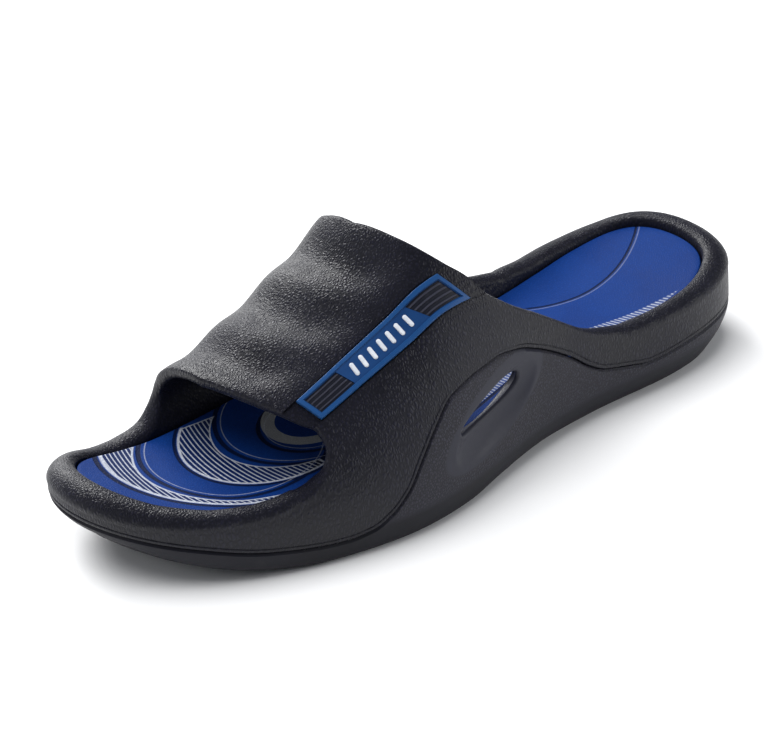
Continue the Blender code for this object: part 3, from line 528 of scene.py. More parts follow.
class Walls:
    """Upright cuts through the sandal's edge, each from the widest outline towards a hub inside.

    Every size has one row for each cut, and a method takes heights with one row for each cut too.
    """

    def __init__(self, base, medial):
        along = base[:, 0] / LENGTH
        hub_along = np.clip(along, HEEL_HUB, TOE_HUB)
        hub = np.stack([hub_along * LENGTH, crown_share(hub_along) * BALL_WIDTH], axis=-1)
        medial = np.broadcast_to(medial, along.shape)
        self.base = base[:, None]
        self.along = along[:, None]
        self.medial = medial[:, None]
        self.inward = unit(hub - base)[:, None]
        self.span = np.linalg.norm(hub - base, axis=1)[:, None]
        self.middle = hub[:, None]
        self.power = mix(LATERAL_POWER, MEDIAL_POWER, self.medial)
        self.widest = WIDEST_HEIGHT * widest_share(self.along)
        self.rise = STRAP_RISE * rise_share(self.along)
        self.bottom = bottom_height(self.base)
        self.undercut = UNDERCUT * undercut_share(self.along)
        self.bed = bed_height(self.base + self.inward * FOOT_WALL, 1.0)
        self.line = line_height(self.along, self.medial)
        ahead = line_height(self.along + SLOPE_STEP, self.medial)
        behind = line_height(self.along - SLOPE_STEP, self.medial)
        self.gap = CLEARANCE * np.hypot(1.0, (ahead - behind) / (2.0 * SLOPE_STEP * LENGTH))
        crest = RIM_HEIGHT * mix(crest_shares[0](self.along), crest_shares[1](self.along), self.medial)
        half_tilt = RIM_HEIGHT * tilt_share(self.along) / 2.0
        foot = crest - EDGE_CROWN * FOOT_WALL
        self.shoulder = foot - half_tilt
        self.lip = np.maximum(foot + half_tilt, self.bed + 2.0 * CLEARANCE)

    def outer(self, height):
        """How far the outer face lies inside the widest outline."""
        sunk = np.clip((self.widest - height) / (self.widest - self.bottom), 0.0, None)
        ratio = np.clip((height - self.widest) / self.rise, 0.0, 1.0)
        above = self.span * (1.0 - (1.0 - ratio ** self.power) ** (1.0 / self.power))
        return self.undercut * sunk ** UNDERCUT_POWER + above

    def inner(self, height):
        """How far the inner face of the upper lies inside the widest outline."""
        return self.outer(height) + wall_thickness(height, self.bed)

    def foot_heights(self):
        """Heights of the bead's rows over the parting line."""
        rises = np.array([row[0] for row in BEAD]) * PARTING_GROOVE
        return self.line + self.gap * (1.0 + rises[None, :] / CLEARANCE)

    def foot(self):
        """Points of the bead on the outer face, from the parting line up."""
        heights = self.foot_heights()
        depths = np.array([row[1] for row in BEAD]) * PARTING_GROOVE
        return self.at(self.outer(heights) + depths[None, :], heights)

    def under(self, inset, shares):
        """Points of the bottom, shares of the way from the middle line to an inset."""
        spot = self.towards_middle(inset, shares)
        return place(spot, bottom_height(spot))

    def bedded(self, inset, shares, drop):
        """Points a drop below the footbed, shares of the way from the middle line to an inset."""
        spot = self.towards_middle(inset, shares)
        return place(spot, bed_height(spot, shares) - drop)

    def at(self, inset, height):
        """Points on the cuts."""
        return place(self.base + self.inward * np.asarray(inset)[..., None], height)

    def towards_middle(self, inset, shares):
        """Places shares of the way from the middle line to an inset."""
        edge = self.base + self.inward * inset[..., None]
        return mix(self.middle, edge, shares[..., None])


def wall_thickness(height, bed):
    """Thickness of the upper, from the thick foot of the wall to the thin strap."""
    return mix(FOOT_WALL, STRAP_WALL, ease((height - bed) / WALL_TAPER))


def strap_skin(along, climb, side, sink=0.0):
    """Outer face of one side at places along and climbs up from the widest outline, less a sink."""
    shape = along.shape
    walls = Walls(outline_at(along.ravel(), side), float(side))
    climb = climb.reshape(-1, 1)
    angle = climb_angle(climb, walls.rise, walls.power)
    lift = np.sin(angle) ** (2.0 / walls.power)
    height = walls.widest + np.where(climb < 0.0, climb, walls.rise * lift)
    sunk = walls.undercut * np.clip(-climb / (walls.widest - walls.bottom), 0.0, None) ** UNDERCUT_POWER
    spread = np.clip(np.cos(angle), 0.0, None) ** (2.0 / walls.power) - sunk / walls.span
    spot = walls.middle + (walls.base - walls.middle) * spread[..., None]
    drop = np.broadcast_to(sink, shape).reshape(-1, 1) * np.sin(angle)
    return place(spot, height - drop).reshape(shape + (3,))


def climb_angle(climb, rise, power):
    """Angle round the strap's section at a climb."""
    return (np.clip(climb, 0.0, None) / rise) ** (power / 2.0)


def angle_climb(angle, along, side):
    """Climb at an angle round the strap's section."""
    power = (LATERAL_POWER, MEDIAL_POWER)[side]
    return STRAP_RISE * rise_share(along) * angle ** (2.0 / power)


def rim_angle(along, side):
    """Angle round the section where a side's wall reaches the rim's shoulder."""
    walls = Walls(outline_at(np.atleast_1d(along), side), float(side))
    ratio = (walls.shoulder - walls.widest) / walls.rise
    return float(np.arcsin(ratio ** (walls.power / 2.0))[0, 0])


def strap_normal(along, climb, side):
    """Direction out of the outer face, without the waves."""
    crest = angle_climb(math.pi / 2.0, along, side)
    low = climb - SLOPE_STEP * STRAP_RISE
    high = np.minimum(climb + SLOPE_STEP * STRAP_RISE, crest)
    run = strap_skin(along + SLOPE_STEP, climb, side) - strap_skin(along - SLOPE_STEP, climb, side)
    up = strap_skin(along, high, side) - strap_skin(along, low, side)
    out = unit(np.cross(up, run))
    return out if side == 0 else -out


def settle(grid, passes):
    """Spread a grid's inner points evenly between its edges, without folds."""
    scale = np.array([LENGTH, 1.0])
    for _ in range(passes):
        ahead = (grid[2:, 1:-1] - grid[:-2, 1:-1]) / 2.0 * scale
        up = (grid[1:-1, 2:] - grid[1:-1, :-2]) / 2.0 * scale
        corner = (grid[2:, 2:] - grid[:-2, 2:] - grid[2:, :-2] + grid[:-2, :-2]) / 4.0
        stretch = np.sum(up * up, -1, keepdims=True)
        squeeze = np.sum(ahead * ahead, -1, keepdims=True)
        skew = np.sum(ahead * up, -1, keepdims=True)
        along = stretch * (grid[2:, 1:-1] + grid[:-2, 1:-1])
        across = squeeze * (grid[1:-1, 2:] + grid[1:-1, :-2])
        grid[1:-1, 1:-1] = (along + across - 2.0 * skew * corner) / (2.0 * (stretch + squeeze))
    return grid


def strap_borders(side, columns, wall_rows, strap_rows):
    """Border of one side's skin as places along and climbs: parting line, front, rear and crown."""
    front = front_edges[side](0.0)
    rear = rear_edges[side](0.0)
    grid = np.zeros((columns + 1, wall_rows + strap_rows + 1, 2))
    across = np.linspace(0.0, 1.0, columns + 1)
    foot = mix(front, rear, across)
    walls = Walls(outline_at(foot, side), float(side))
    grid[:, 0, 0] = foot
    grid[:, 0, 1] = (walls.foot_heights()[:, -1:] - walls.widest)[:, 0]
    crown = mix(front_edges[side](1.0), rear_edges[side](1.0), across)
    grid[:, -1, 0] = crown
    grid[:, -1, 1] = angle_climb(math.pi / 2.0, crown, side)
    rises = np.linspace(0.0, 1.0, strap_rows + 1)
    for k, edge in ((0, front_edges[side]), (columns, rear_edges[side])):
        along = edge(rises)
        angle = mix(rim_angle(along[0], side), math.pi / 2.0, rises)
        grid[k, wall_rows:, 0] = along
        grid[k, wall_rows:, 1] = angle_climb(angle, along, side)
        steps = np.linspace(0.0, 1.0, wall_rows + 1)
        grid[k, :wall_rows + 1, 0] = along[0]
        grid[k, :wall_rows + 1, 1] = mix(grid[k, 0, 1], grid[k, wall_rows, 1], steps)
    return grid


def strap_grid(side):
    """Places along and climbs of one side's skin, solved coarse to fine."""
    rough = None
    for stage, passes in enumerate(SETTLING):
        times = 2 ** stage
        grid = strap_borders(side, COARSE_COLUMNS * times, COARSE_WALL * times, COARSE_STRAP * times)
        if rough is None:
            rows = np.linspace(0.0, 1.0, grid.shape[1])[None, :, None]
            columns = np.linspace(0.0, 1.0, grid.shape[0])[:, None, None]
            upright = mix(grid[:, :1], grid[:, -1:], rows)
            across = mix(grid[:1], grid[-1:], columns)
            guess = upright + across - mix(across[:, :1], across[:, -1:], rows)
        else:
            guess = finer(rough, grid.shape[:2])
        grid[1:-1, 1:-1] = guess[1:-1, 1:-1]
        rough = settle(grid, passes)
    return rough


def finer(grid, shape):
    """The same grid with more columns and rows."""
    cols = np.linspace(0.0, grid.shape[0] - 1.0, shape[0])
    rows = np.linspace(0.0, grid.shape[1] - 1.0, shape[1])
    i = np.minimum(cols.astype(int), grid.shape[0] - 2)
    j = np.minimum(rows.astype(int), grid.shape[1] - 2)
    u = (cols - i)[:, None, None]
    v = (rows - j)[None, :, None]
    low = mix(grid[i][:, j], grid[i + 1][:, j], u)
    high = mix(grid[i][:, j + 1], grid[i + 1][:, j + 1], u)
    return mix(low, high, v)


def cap_bases(first, last, count, past_toe):
    """Places on the outline between two ends, evenly spaced round the toe or the heel."""
    outer, inner = HALVES
    if past_toe:
        path = np.vstack([inner[inner[:, 0] > first[0]], outer[outer[:, 0] > last[0]][::-1]])
    else:
        path = np.vstack([outer[outer[:, 0] < first[0]][::-1], inner[inner[:, 0] < last[0]]])
    path = np.vstack([first, path, last])
    run = np.concatenate([[0.0], np.cumsum(np.linalg.norm(np.diff(path, axis=0), axis=1))])
    places = np.linspace(0.0, 1.0, count + 1)[1:-1]
    return np.stack([np.interp(places * run[-1], run, path[:, axis]) for axis in (0, 1)], axis=-1), places


def make_walls(columns, cap_columns):
    """Cuts on the outer side, round the heel, on the inner side and round the toe."""
    across = np.linspace(0.0, 1.0, columns + 1)
    feet = []
    for side in (0, 1):
        feet.append(outline_at(mix(front_edges[side](0.0), rear_edges[side](0.0), across), side))
    heel, heel_shares = cap_bases(feet[0][-1], feet[1][-1], cap_columns, past_toe=False)
    toe, toe_shares = cap_bases(feet[1][0], feet[0][0], cap_columns, past_toe=True)
    lateral = Walls(feet[0], 0.0)
    medial = Walls(feet[1], 1.0)
    heel = Walls(heel, ease(heel_shares))
    toe = Walls(toe, 1.0 - ease(toe_shares))
    along = (lateral.along + medial.along) / 2.0
    middle = np.stack([along * LENGTH, crown_share(along) * BALL_WIDTH], axis=-1)
    lateral.middle = middle
    medial.middle = middle
    heel.middle = np.broadcast_to(middle[-1:], heel.middle.shape)
    toe.middle = np.broadcast_to(middle[:1], toe.middle.shape)
    return lateral, heel, medial, toe


WALL_ROWS = COARSE_WALL * 2 ** (len(SETTLING) - 1)
LATERAL, HEEL, MEDIAL, TOE = make_walls(COARSE_COLUMNS * 2 ** (len(SETTLING) - 1), CAP_COLUMNS)
SOLE_WALLS = make_walls(SOLE_COLUMNS, SOLE_CAP)


class Skin:
    """Patches of quads, welded into one closed body."""

    def __init__(self):
        self.points = []
        self.faces = []
        self.marks = []
        self.count = 0

    def patch(self, grid, hole=None, marks=None):
        """Add the faces of a grid of points, but for those of a rectangular hole, and the points' marks."""
        grid = np.asarray(grid)
        rows, columns = grid.shape[:2]
        index = self.count + np.arange(rows * columns).reshape(rows, columns)
        quads = np.stack([index[:-1, :-1], index[:-1, 1:], index[1:, 1:], index[1:, :-1]], axis=-1)
        keep = np.ones(quads.shape[:2], bool)
        if hole:
            keep[hole[0]:hole[1], hole[2]:hole[3]] = False
        self.points.append(grid.reshape(-1, 3))
        if marks is not None:
            self.marks.append(np.asarray(marks).reshape(-1, 3))
        self.faces += quads[keep].tolist()
        self.count += rows * columns

    def band(self, first, first_turns, second, second_turns):
        """Close the band between two loops with unlike counts of points, in the order of their turns."""
        sizes = (len(first), len(second))
        starts = (self.count, self.count + sizes[0])
        turns = []
        for loop_turns in (first_turns, second_turns):
            turns.append(np.append(loop_turns, [loop_turns[0] + 2.0 * math.pi, math.inf]))
        at = [0, 0]
        while at[0] < sizes[0] or at[1] < sizes[1]:
            side = int(turns[1][at[1] + 1] < turns[0][at[0] + 1])
            corners = [starts[k] + at[k] % sizes[k] for k in (0, 1)]
            at[side] += 1
            self.faces.append(corners + [starts[side] + at[side] % sizes[side]])
        self.points += [first, second]
        self.count += sizes[0] + sizes[1]

    def body(self, name):
        """Weld the patches and make the object."""
        mesh = bpy.data.meshes.new(name)
        mesh.from_pydata(np.vstack(self.points).tolist(), [], self.faces)
        if self.marks:
            mark(mesh, "strip", np.vstack(self.marks))
        shape = bmesh.new()
        shape.from_mesh(mesh)
        bmesh.ops.remove_doubles(shape, verts=shape.verts, dist=WELD)
        bmesh.ops.dissolve_degenerate(shape, edges=shape.edges, dist=WELD)
        bmesh.ops.recalc_face_normals(shape, faces=shape.faces)
        shape.to_mesh(mesh)
        shape.free()
        return placed(name, mesh)


def mark(mesh, name, vectors):
    """Store a vector for each point of the mesh."""
    mesh.attributes.new(name, "FLOAT_VECTOR", "POINT").data.foreach_set("vector", vectors.ravel())


def placed(name, mesh):
    """Object of a mesh, shaded smooth but for its sharp edges."""
    mesh.shade_smooth()
    mesh.set_sharp_from_angle(angle=math.radians(SHARP_ANGLE))
    thing = bpy.data.objects.new(name, mesh)
    bpy.context.scene.collection.objects.link(thing)
    return thing


def applied(thing):
    """The object with its modifiers' result as its own mesh."""
    bpy.context.view_layer.update()
    result = bpy.data.meshes.new_from_object(thing.evaluated_get(bpy.context.evaluated_depsgraph_get()))
    thing.modifiers.clear()
    spare = thing.data
    thing.data = result
    bpy.data.meshes.remove(spare)
    return thing


def cut(thing, cutter):
    """Take the cutter's shape out of the object, and the cutter away."""
    step = thing.modifiers.new(cutter.name, "BOOLEAN")
    step.operation = "DIFFERENCE"
    step.solver = "EXACT"
    step.object = cutter
    applied(thing)
    bpy.data.objects.remove(cutter)
    thing.data.set_sharp_from_angle(angle=math.radians(SHARP_ANGLE))


def ripple(along, angle, side):
    """Depth of the waves that run across the top of the strap."""
    start = rim_angle(front_edges[side](0.0), side)
    rise = np.clip((angle - start) / (math.pi / 2.0 - start), 0.0, 1.0)
    front = front_edges[side](rise)
    across = np.clip((front - along) / (front - rear_edges[side](rise)), 0.0, 1.0)
    low, full = RIPPLE_FADE[side]
    strength = ease((np.degrees(angle) - low) / (full - low))
    return RIPPLE_DEPTH * strength * (0.5 - 0.5 * np.cos(2.0 * math.pi * RIPPLES * across))


def strap_faces(side):
    """Outer and inner points of one side, from the parting line up to the crown."""
    grid = strap_grid(side)
    along = grid[..., 0]
    climb = grid[..., 1]
    shape = along.shape
    walls = Walls(outline_at(along.ravel(), side), float(side))
    power = (LATERAL_POWER, MEDIAL_POWER)[side]
    angle = climb_angle(climb, walls.rise.reshape(shape), power)
    angle = np.minimum(angle, math.pi / 2.0)
    outer = strap_skin(along, climb, side, ripple(along, angle, side))
    height = outer[..., 2]
    bed = walls.bed.reshape(shape)
    inward = walls.inward[:, 0].reshape(shape + (2,))
    level = np.stack([-inward[..., 0], inward[..., 1], np.zeros(shape)], axis=-1)
    normal = strap_normal(along, climb, side)
    square = ease((height - np.maximum(bed, walls.line.reshape(shape))) / WALL_TAPER)
    depth = unit(mix(level, -normal, square[..., None]))
    inner = outer + depth * wall_thickness(height, bed)[..., None]
    foot = (LATERAL, MEDIAL)[side]
    heights = foot.foot_heights()
    back = foot.at(foot.inner(heights), heights)
    return np.concatenate([foot.foot()[:, :-1], outer], 1), np.concatenate([back[:, :-1], inner], 1)


def cap_faces(walls):
    """Outer and inner points of the rim's wall round the toe or the heel."""
    feet = walls.foot_heights()
    steps = np.linspace(0.0, 1.0, WALL_ROWS + 1)[None, :]
    heights = mix(feet[:, -1:], walls.shoulder, steps)
    outer = walls.at(walls.outer(heights), heights)
    count = np.arange(1, CAP_COLUMNS)
    share = ease(np.minimum(count, CAP_COLUMNS - count) / CAP_BLEND)[:, None]
    lip = mix(heights[:, -1:], walls.lip, share)
    tops = np.concatenate([feet[:, :-1], heights[:, :-1], lip], axis=1)
    inner = walls.at(walls.inner(tops), tops)
    return np.concatenate([walls.foot()[:, :-1], outer], axis=1), inner


def rounded_edge(outer, inner):
    """Rows that round over from a closed loop of outer points to its inner points."""
    thick = outer - inner
    width = np.linalg.norm(thick, axis=1)[:, None]
    around = np.roll(outer + inner, -1, 0) - np.roll(outer + inner, 1, 0)
    out = unit(np.cross(thick / width, around))
    if out[:, 2].sum() < 0.0:
        out = -out
    rows = []
    for step in range(EDGE_ROWS + 1):
        turn = math.pi * step / EDGE_ROWS
        middle = (outer + inner) / 2.0
        rows.append(middle + thick / 2.0 * math.cos(turn) + out * width * EDGE_CROWN * math.sin(turn))
    rows[0] = outer
    rows[-1] = inner
    return rows


def closed(loop):
    """Loop with its first point again at the end."""
    return np.concatenate([loop, loop[:1]])


def make_upper():
    """Strap, side walls and rim, moulded whole."""
    sides = (strap_faces(0), strap_faces(1))
    heel = cap_faces(HEEL)
    toe = cap_faces(TOE)
    skin = Skin()
    rear_loops = []
    front_loops = []
    feet = []
    rows = WALL_ROWS + len(BEAD)
    for face in (0, 1):
        strap = np.concatenate([sides[0][face], sides[1][face][:, -2::-1]], axis=1)
        skin.patch(strap)
        skin.patch(np.concatenate([strap[-1:, :rows], heel[face], strap[-1:, -rows:][:, ::-1]]))
        skin.patch(np.concatenate([strap[:1, -rows:][:, ::-1], toe[face], strap[:1, :rows]]))
        top = slice(rows - 1, strap.shape[1] - rows + 1)
        rear_loops.append(np.concatenate([strap[-1, top][::-1], heel[face][:, -1]]))
        front_loops.append(np.concatenate([strap[0, top], toe[face][:, -1]]))
        foot = [strap[:, 0], heel[face][:, 0], strap[::-1, -1], toe[face][:, 0]]
        feet.append(closed(np.concatenate(foot)))
    for loops in (rear_loops, front_loops):
        skin.patch([closed(row) for row in rounded_edge(loops[0], loops[1])])
    skin.patch(feet)
    return skin.body("strap_and_rim")


def upright_frame(along, height):
    """Spot on the outer wall, and the directions rearwards along it and out of it."""
    spot = Walls(outline_at(np.array([along]), 0), 0.0)
    ahead = place(outline_at(along + SLOPE_STEP, 0), height)
    behind = place(outline_at(along - SLOPE_STEP, 0), height)
    rear = unit(behind - ahead)
    return spot.at(spot.outer(height), height)[0, 0], rear, np.cross(rear, (0.0, 0.0, 1.0))


VENT_FRAME = upright_frame(VENT_PLACE, VENT_CENTRE)
SCOOP_FRAME = upright_frame(SCOOP_PLACE, SCOOP_CENTRE)


def turned(places, angle):
    """Places of an upright plane, turned so that their rear end lifts."""
    turn = math.radians(angle)
    across = places[..., 0] * math.cos(turn) - places[..., 1] * math.sin(turn)
    up = places[..., 0] * math.sin(turn) + places[..., 1] * math.cos(turn)
    return np.stack([across, up], axis=-1)


def plane_places(points, frame):
    """Places rearwards and up from a frame's spot, and distances out from it."""
    spot, rear, out = frame
    offset = points - spot
    return np.stack([offset @ rear, offset[..., 2]], axis=-1), offset @ out


def scooped(points):
    """Points of the outer wall, pressed in where the shallow scoop lies."""
    places, level = plane_places(points, SCOOP_FRAME)
    places = turned(places, -SCOOP_TILT)
    reach = (places[..., 0] / SCOOP_LENGTH) ** 2 + (places[..., 1] / SCOOP_WIDTH) ** 2
    ball = SCOOP_BALL / 2.0 * (1.0 - np.sqrt(np.clip(1.0 - 4.0 * reach, 0.0, 1.0)))
    sunk = np.where(4.0 * reach < 1.0, np.minimum(level, ball - SCOOP_DEPTH), level)
    return points + (sunk - level)[..., None] * SCOOP_FRAME[2]


def wall_points(places, inside):
    """Points of the sole's outer wall, on its outer or inner face, at places of the vent's upright plane."""
    spot, rear, _ = VENT_FRAME
    height = (spot[2] + places[:, 1])[:, None]
    along = VENT_PLACE - places[:, 0] / LENGTH
    for _ in range(PLACE_STEPS):
        walls = Walls(outline_at(along, 0), 0.0)
        inset = walls.inner(height) + CLEARANCE if inside else walls.outer(height)
        points = walls.at(inset, height)[:, 0]
        along = along + ((points - spot) @ rear - places[:, 0]) / LENGTH
    return points if inside else scooped(points)


def vent_outline(turns, spread, drop):
    """Places of the vent's almond outline, spread outwards, with its lower side let down by a drop."""
    reach = VENT_LENGTH / 2.0 * np.cos(turns)
    half = VENT_WIDTH / 2.0 * np.sin(turns) * (1.0 + VENT_SKEW * np.cos(turns))
    half = half + drop * np.minimum(np.sin(turns), 0.0)
    run = -VENT_LENGTH / 2.0 * np.sin(turns)
    rise = VENT_WIDTH / 2.0 * (np.cos(turns) + VENT_SKEW * np.cos(2.0 * turns))
    out = unit(np.stack([rise, -run], axis=-1))
    return turned(np.stack([reach, half], axis=-1) + out * spread, VENT_TILT)


def hole_border(grid, start, stop, drop):
    """Rectangle of a grid round the vent, between two rows, and its border points once round."""
    places, _ = plane_places(grid[:, start:stop], VENT_FRAME)
    places = turned(places, -VENT_TILT)
    size = np.array([VENT_LENGTH, VENT_WIDTH * (1.0 + VENT_SKEW) + drop])
    grown = size / 2.0 + 2.0 * VENT_LIP + VENT_FLARE
    inside = np.sum(((places + np.array([0.0, drop / 2.0])) / grown) ** 2, axis=-1) < 1.0
    columns = np.nonzero(inside.any(1))[0]
    rows = start + np.nonzero(inside.any(0))[0]
    hole = (columns[0] - 1, columns[-1] + 1, rows[0] - 1, rows[-1] + 1)
    return hole, edge_loop(grid[hole[0]:hole[1] + 1, hole[2]:hole[3] + 1])


def vent_face(border, inside, drop):
    """Rows of points from the border of a hole in one face to the vent's tunnel, and each point's turn."""
    places, _ = plane_places(border, VENT_FRAME)
    middle = (places.min(0) + places.max(0)) / 2.0
    half = (places.max(0) - places.min(0)) / 2.0
    turns = np.arctan2((places[:, 1] - middle[1]) / half[1], (places[:, 0] - middle[0]) / half[0])
    flare = VENT_FLARE if inside else 0.0
    edge = vent_outline(turns, VENT_LIP + flare, drop)
    rows = [border]
    for step in range(1, VENT_ROWS + 1):
        rows.append(wall_points(mix(places, edge, step / VENT_ROWS), inside))
    brink = rows[-1]
    _, level = plane_places(brink, VENT_FRAME)
    inwards = 1.0 if inside else -1.0
    for step in range(1, LIP_ROWS + 1):
        turn = math.pi / 2.0 * step / LIP_ROWS
        spread = VENT_LIP * (1.0 - math.sin(turn)) + flare
        depth = VENT_LIP * (1.0 - math.cos(turn)) * inwards
        rows.append(plane_points(vent_outline(turns, spread, drop), level + depth))
    return rows, turns


def plane_points(places, level):
    """Points at places of the vent's upright plane and distances out from it."""
    spot, rear, out = VENT_FRAME
    upright = np.array([0.0, 0.0, 1.0])
    return spot + places[:, :1] * rear + places[:, 1:] * upright + level[:, None] * out


def around(rings):
    """Rings of points from the outer side, heel, inner side and toe, as one closed round of cuts."""
    lateral, heel, medial, toe = rings
    return np.concatenate([lateral, heel, medial[::-1], toe, lateral[:1]])


def sole_outside(walls):
    """Bottom and outer face of the sole, from under the middle to the parting line."""
    shares = np.linspace(0.0, 1.0, UNDER_ROWS + 1)[None, :]
    under = walls.under(walls.outer(walls.bottom) + SOLE_EDGE_ROUND, shares)
    turn = np.linspace(0.0, math.pi / 2.0, CORNER_ROWS + 1)[None, 1:]
    heights = mix(under[:, -1:, 2], walls.bottom + SOLE_EDGE_ROUND, 1.0 - np.cos(turn))
    inset = walls.outer(np.maximum(heights, walls.bottom))
    corner = walls.at(inset + SOLE_EDGE_ROUND * (1.0 - np.sin(turn)), heights)
    steps = np.linspace(0.0, 1.0, SIDE_ROWS + 1)[None, 1:]
    heights = mix(walls.bottom + SOLE_EDGE_ROUND, walls.line - PARTING_GROOVE, steps)
    side = scooped(walls.at(walls.outer(heights), heights))
    lip = walls.at(walls.outer(walls.line) + PARTING_GROOVE, walls.line)
    return np.concatenate([under, corner, side, lip], axis=1)


def sole_inside(walls):
    """Inner face of the sole, from the parting line over its core to the middle."""
    drop = INSOLE_THICKNESS + FLOOR_CLEARANCE
    floor = walls.bed - drop
    heights = mix(walls.line, floor, np.linspace(0.0, 1.0, CORE_ROWS + 1)[None, :])
    core = walls.at(walls.inner(heights) + CLEARANCE, heights)
    shares = np.linspace(1.0, 0.0, UNDER_ROWS + 1)[None, 1:]
    return np.concatenate([core, walls.bedded(walls.inner(floor) + CLEARANCE, shares, drop)], axis=1)


def tread_bars():
    """Bars that cut the cross grooves under heel and forefoot."""
    bars = bmesh.new()
    for start, end in TREAD_FIELDS:
        count = int((end - start) * LENGTH / GROOVE_PITCH)
        for k in range(count + 1):
            along = mix(start, end, k / count)
            low = outline_at(along, 0)[1] + GROOVE_MARGIN
            high = outline_at(along, 1)[1] - GROOVE_MARGIN
            spot = place(np.array([along * LENGTH, (low + high) / 2.0]), 0.0)
            size = Matrix.Diagonal((GROOVE_WIDTH, high - low, 2.0 * GROOVE_DEPTH, 1.0))
            bmesh.ops.create_cube(bars, size=1.0, matrix=Matrix.Translation(Vector(spot)) @ size)
    mesh = bpy.data.meshes.new("tread_bars")
    bars.to_mesh(mesh)
    bars.free()
    return placed("tread_bars", mesh)


def make_sole():
    """Sole with its hump, its shallow scoop, the vent through it and the tread."""
    skin = Skin()
    tunnel = []
    side = UNDER_ROWS + CORNER_ROWS + 1
    faces = ((False, sole_outside, side, SIDE_ROWS, 0.0), (True, sole_inside, 0, CORE_ROWS, VENT_DROP))
    for inside, face, start, rows, drop in faces:
        grid = around([face(walls) for walls in SOLE_WALLS])
        hole, border = hole_border(grid[:SOLE_COLUMNS + 1], start, start + rows, drop)
        skin.patch(grid, hole)
        rows, turns = vent_face(border, inside, drop)
        skin.patch([closed(row) for row in rows])
        order = np.argsort(turns)
        tunnel.append((rows[-1][order], turns[order]))
    (outer, turns), (inner, inner_turns) = tunnel
    skin.band(outer, turns, inner, inner_turns)
    sole = skin.body("unit_sole")
    cut(sole, tread_bars())
    return sole


def make_insole():
    """Dished footbed with a rounded edge."""
    faces = []
    for walls in SOLE_WALLS:
        edge = walls.inner(walls.bed) + 2.0 * CLEARANCE
        shares = np.linspace(0.0, 1.0, UNDER_ROWS + 1)[None, :]
        under = walls.bedded(edge, shares, INSOLE_THICKNESS)
        turn = np.linspace(0.0, math.pi / 2.0, CORNER_ROWS + 1)[None, :]
        shares = np.linspace(1.0, 0.0, INSOLE_ROWS + 1)[None, :]
        top = walls.bedded(edge + INSOLE_EDGE, shares, 0.0)
        heights = top[:, :1, 2] - INSOLE_EDGE * (1.0 - np.sin(turn[:, :-1]))
        corner = walls.at(edge + INSOLE_EDGE * (1.0 - np.cos(turn[:, :-1])), heights)
        faces.append(np.concatenate([under, corner, top], axis=1))
    skin = Skin()
    skin.patch(around(faces))
    return skin.body("footbed")


def badge_path(share):
    """Places along and climbs on the badge's middle line, from its front end, 0, to its rear end, 1."""
    along = mix(BADGE_FRONT, BADGE_REAR, share)
    arch = 4.0 * BADGE_ARCH * share * (1.0 - share)
    angle = np.radians(mix(BADGE_FRONT_ANGLE, BADGE_REAR_ANGLE, share) + arch)
    return along, angle


def badge_points(shares, reach, level):
    """Points of the strap's badge at shares of its length, reaches across it and levels over the strap."""
    along, angle = badge_path(shares)
    spot = strap_skin(along, angle_climb(angle, along, 0), 0)
    ahead_along, ahead_angle = badge_path(shares + SLOPE_STEP)
    ahead = strap_skin(ahead_along, angle_climb(ahead_angle, ahead_along, 0), 0)
    above = strap_skin(along, angle_climb(angle + SLOPE_STEP, along, 0), 0)
    run = unit(ahead - spot)
    out = unit(np.cross(run, above - spot))
    out = np.where(out[..., 1:2] < 0.0, out, -out)
    across = np.cross(out, run) - run * mix(BADGE_LEAN[0], BADGE_LEAN[1], shares[:, None])
    across = across * mix(BADGE_SPREAD[0], BADGE_SPREAD[1], shares[:, None])
    level = level - reach * reach / (2.0 * STRAP_RISE)
    return spot[:, None] + across[:, None] * reach[..., None] + out[:, None] * level[..., None]


def badge_slab(name, shares, reaches, top, bottom):
    """Closed strip on the strap, with its top and bottom levels over a grid of shares and reaches."""
    reach = np.broadcast_to(reaches, (len(shares), len(reaches)))
    high = badge_points(shares, reach, np.broadcast_to(top, reach.shape))
    low = badge_points(shares, reach, np.broadcast_to(bottom, reach.shape))
    run = np.broadcast_to(shares[:, None] * BADGE_LENGTH, reach.shape)
    strips = [np.stack([run, reach, np.full(reach.shape, side)], axis=-1) for side in (1.0, 0.0)]
    skin = Skin()
    skin.patch(high, marks=strips[0])
    skin.patch(low, marks=strips[1])
    loops = [closed(edge_loop(high)), closed(edge_loop(low))]
    skin.patch(loops, marks=[closed(edge_loop(strip)) for strip in strips])
    return skin.body(name)


def edge_loop(grid):
    """Border points of a grid, once round."""
    return np.concatenate([grid[:-1, 0], grid[-1, :-1], grid[:0:-1, -1], grid[0, :0:-1]])


def graded(length, marks, count):
    """Places from 0 to a length, evenly spaced, with lines at the marks from both ends."""
    marks = np.asarray(marks)
    even = np.linspace(marks[-1], length - marks[-1], count + 1)
    return np.unique(np.round(np.concatenate([marks, even, length - marks]), ROUNDING))


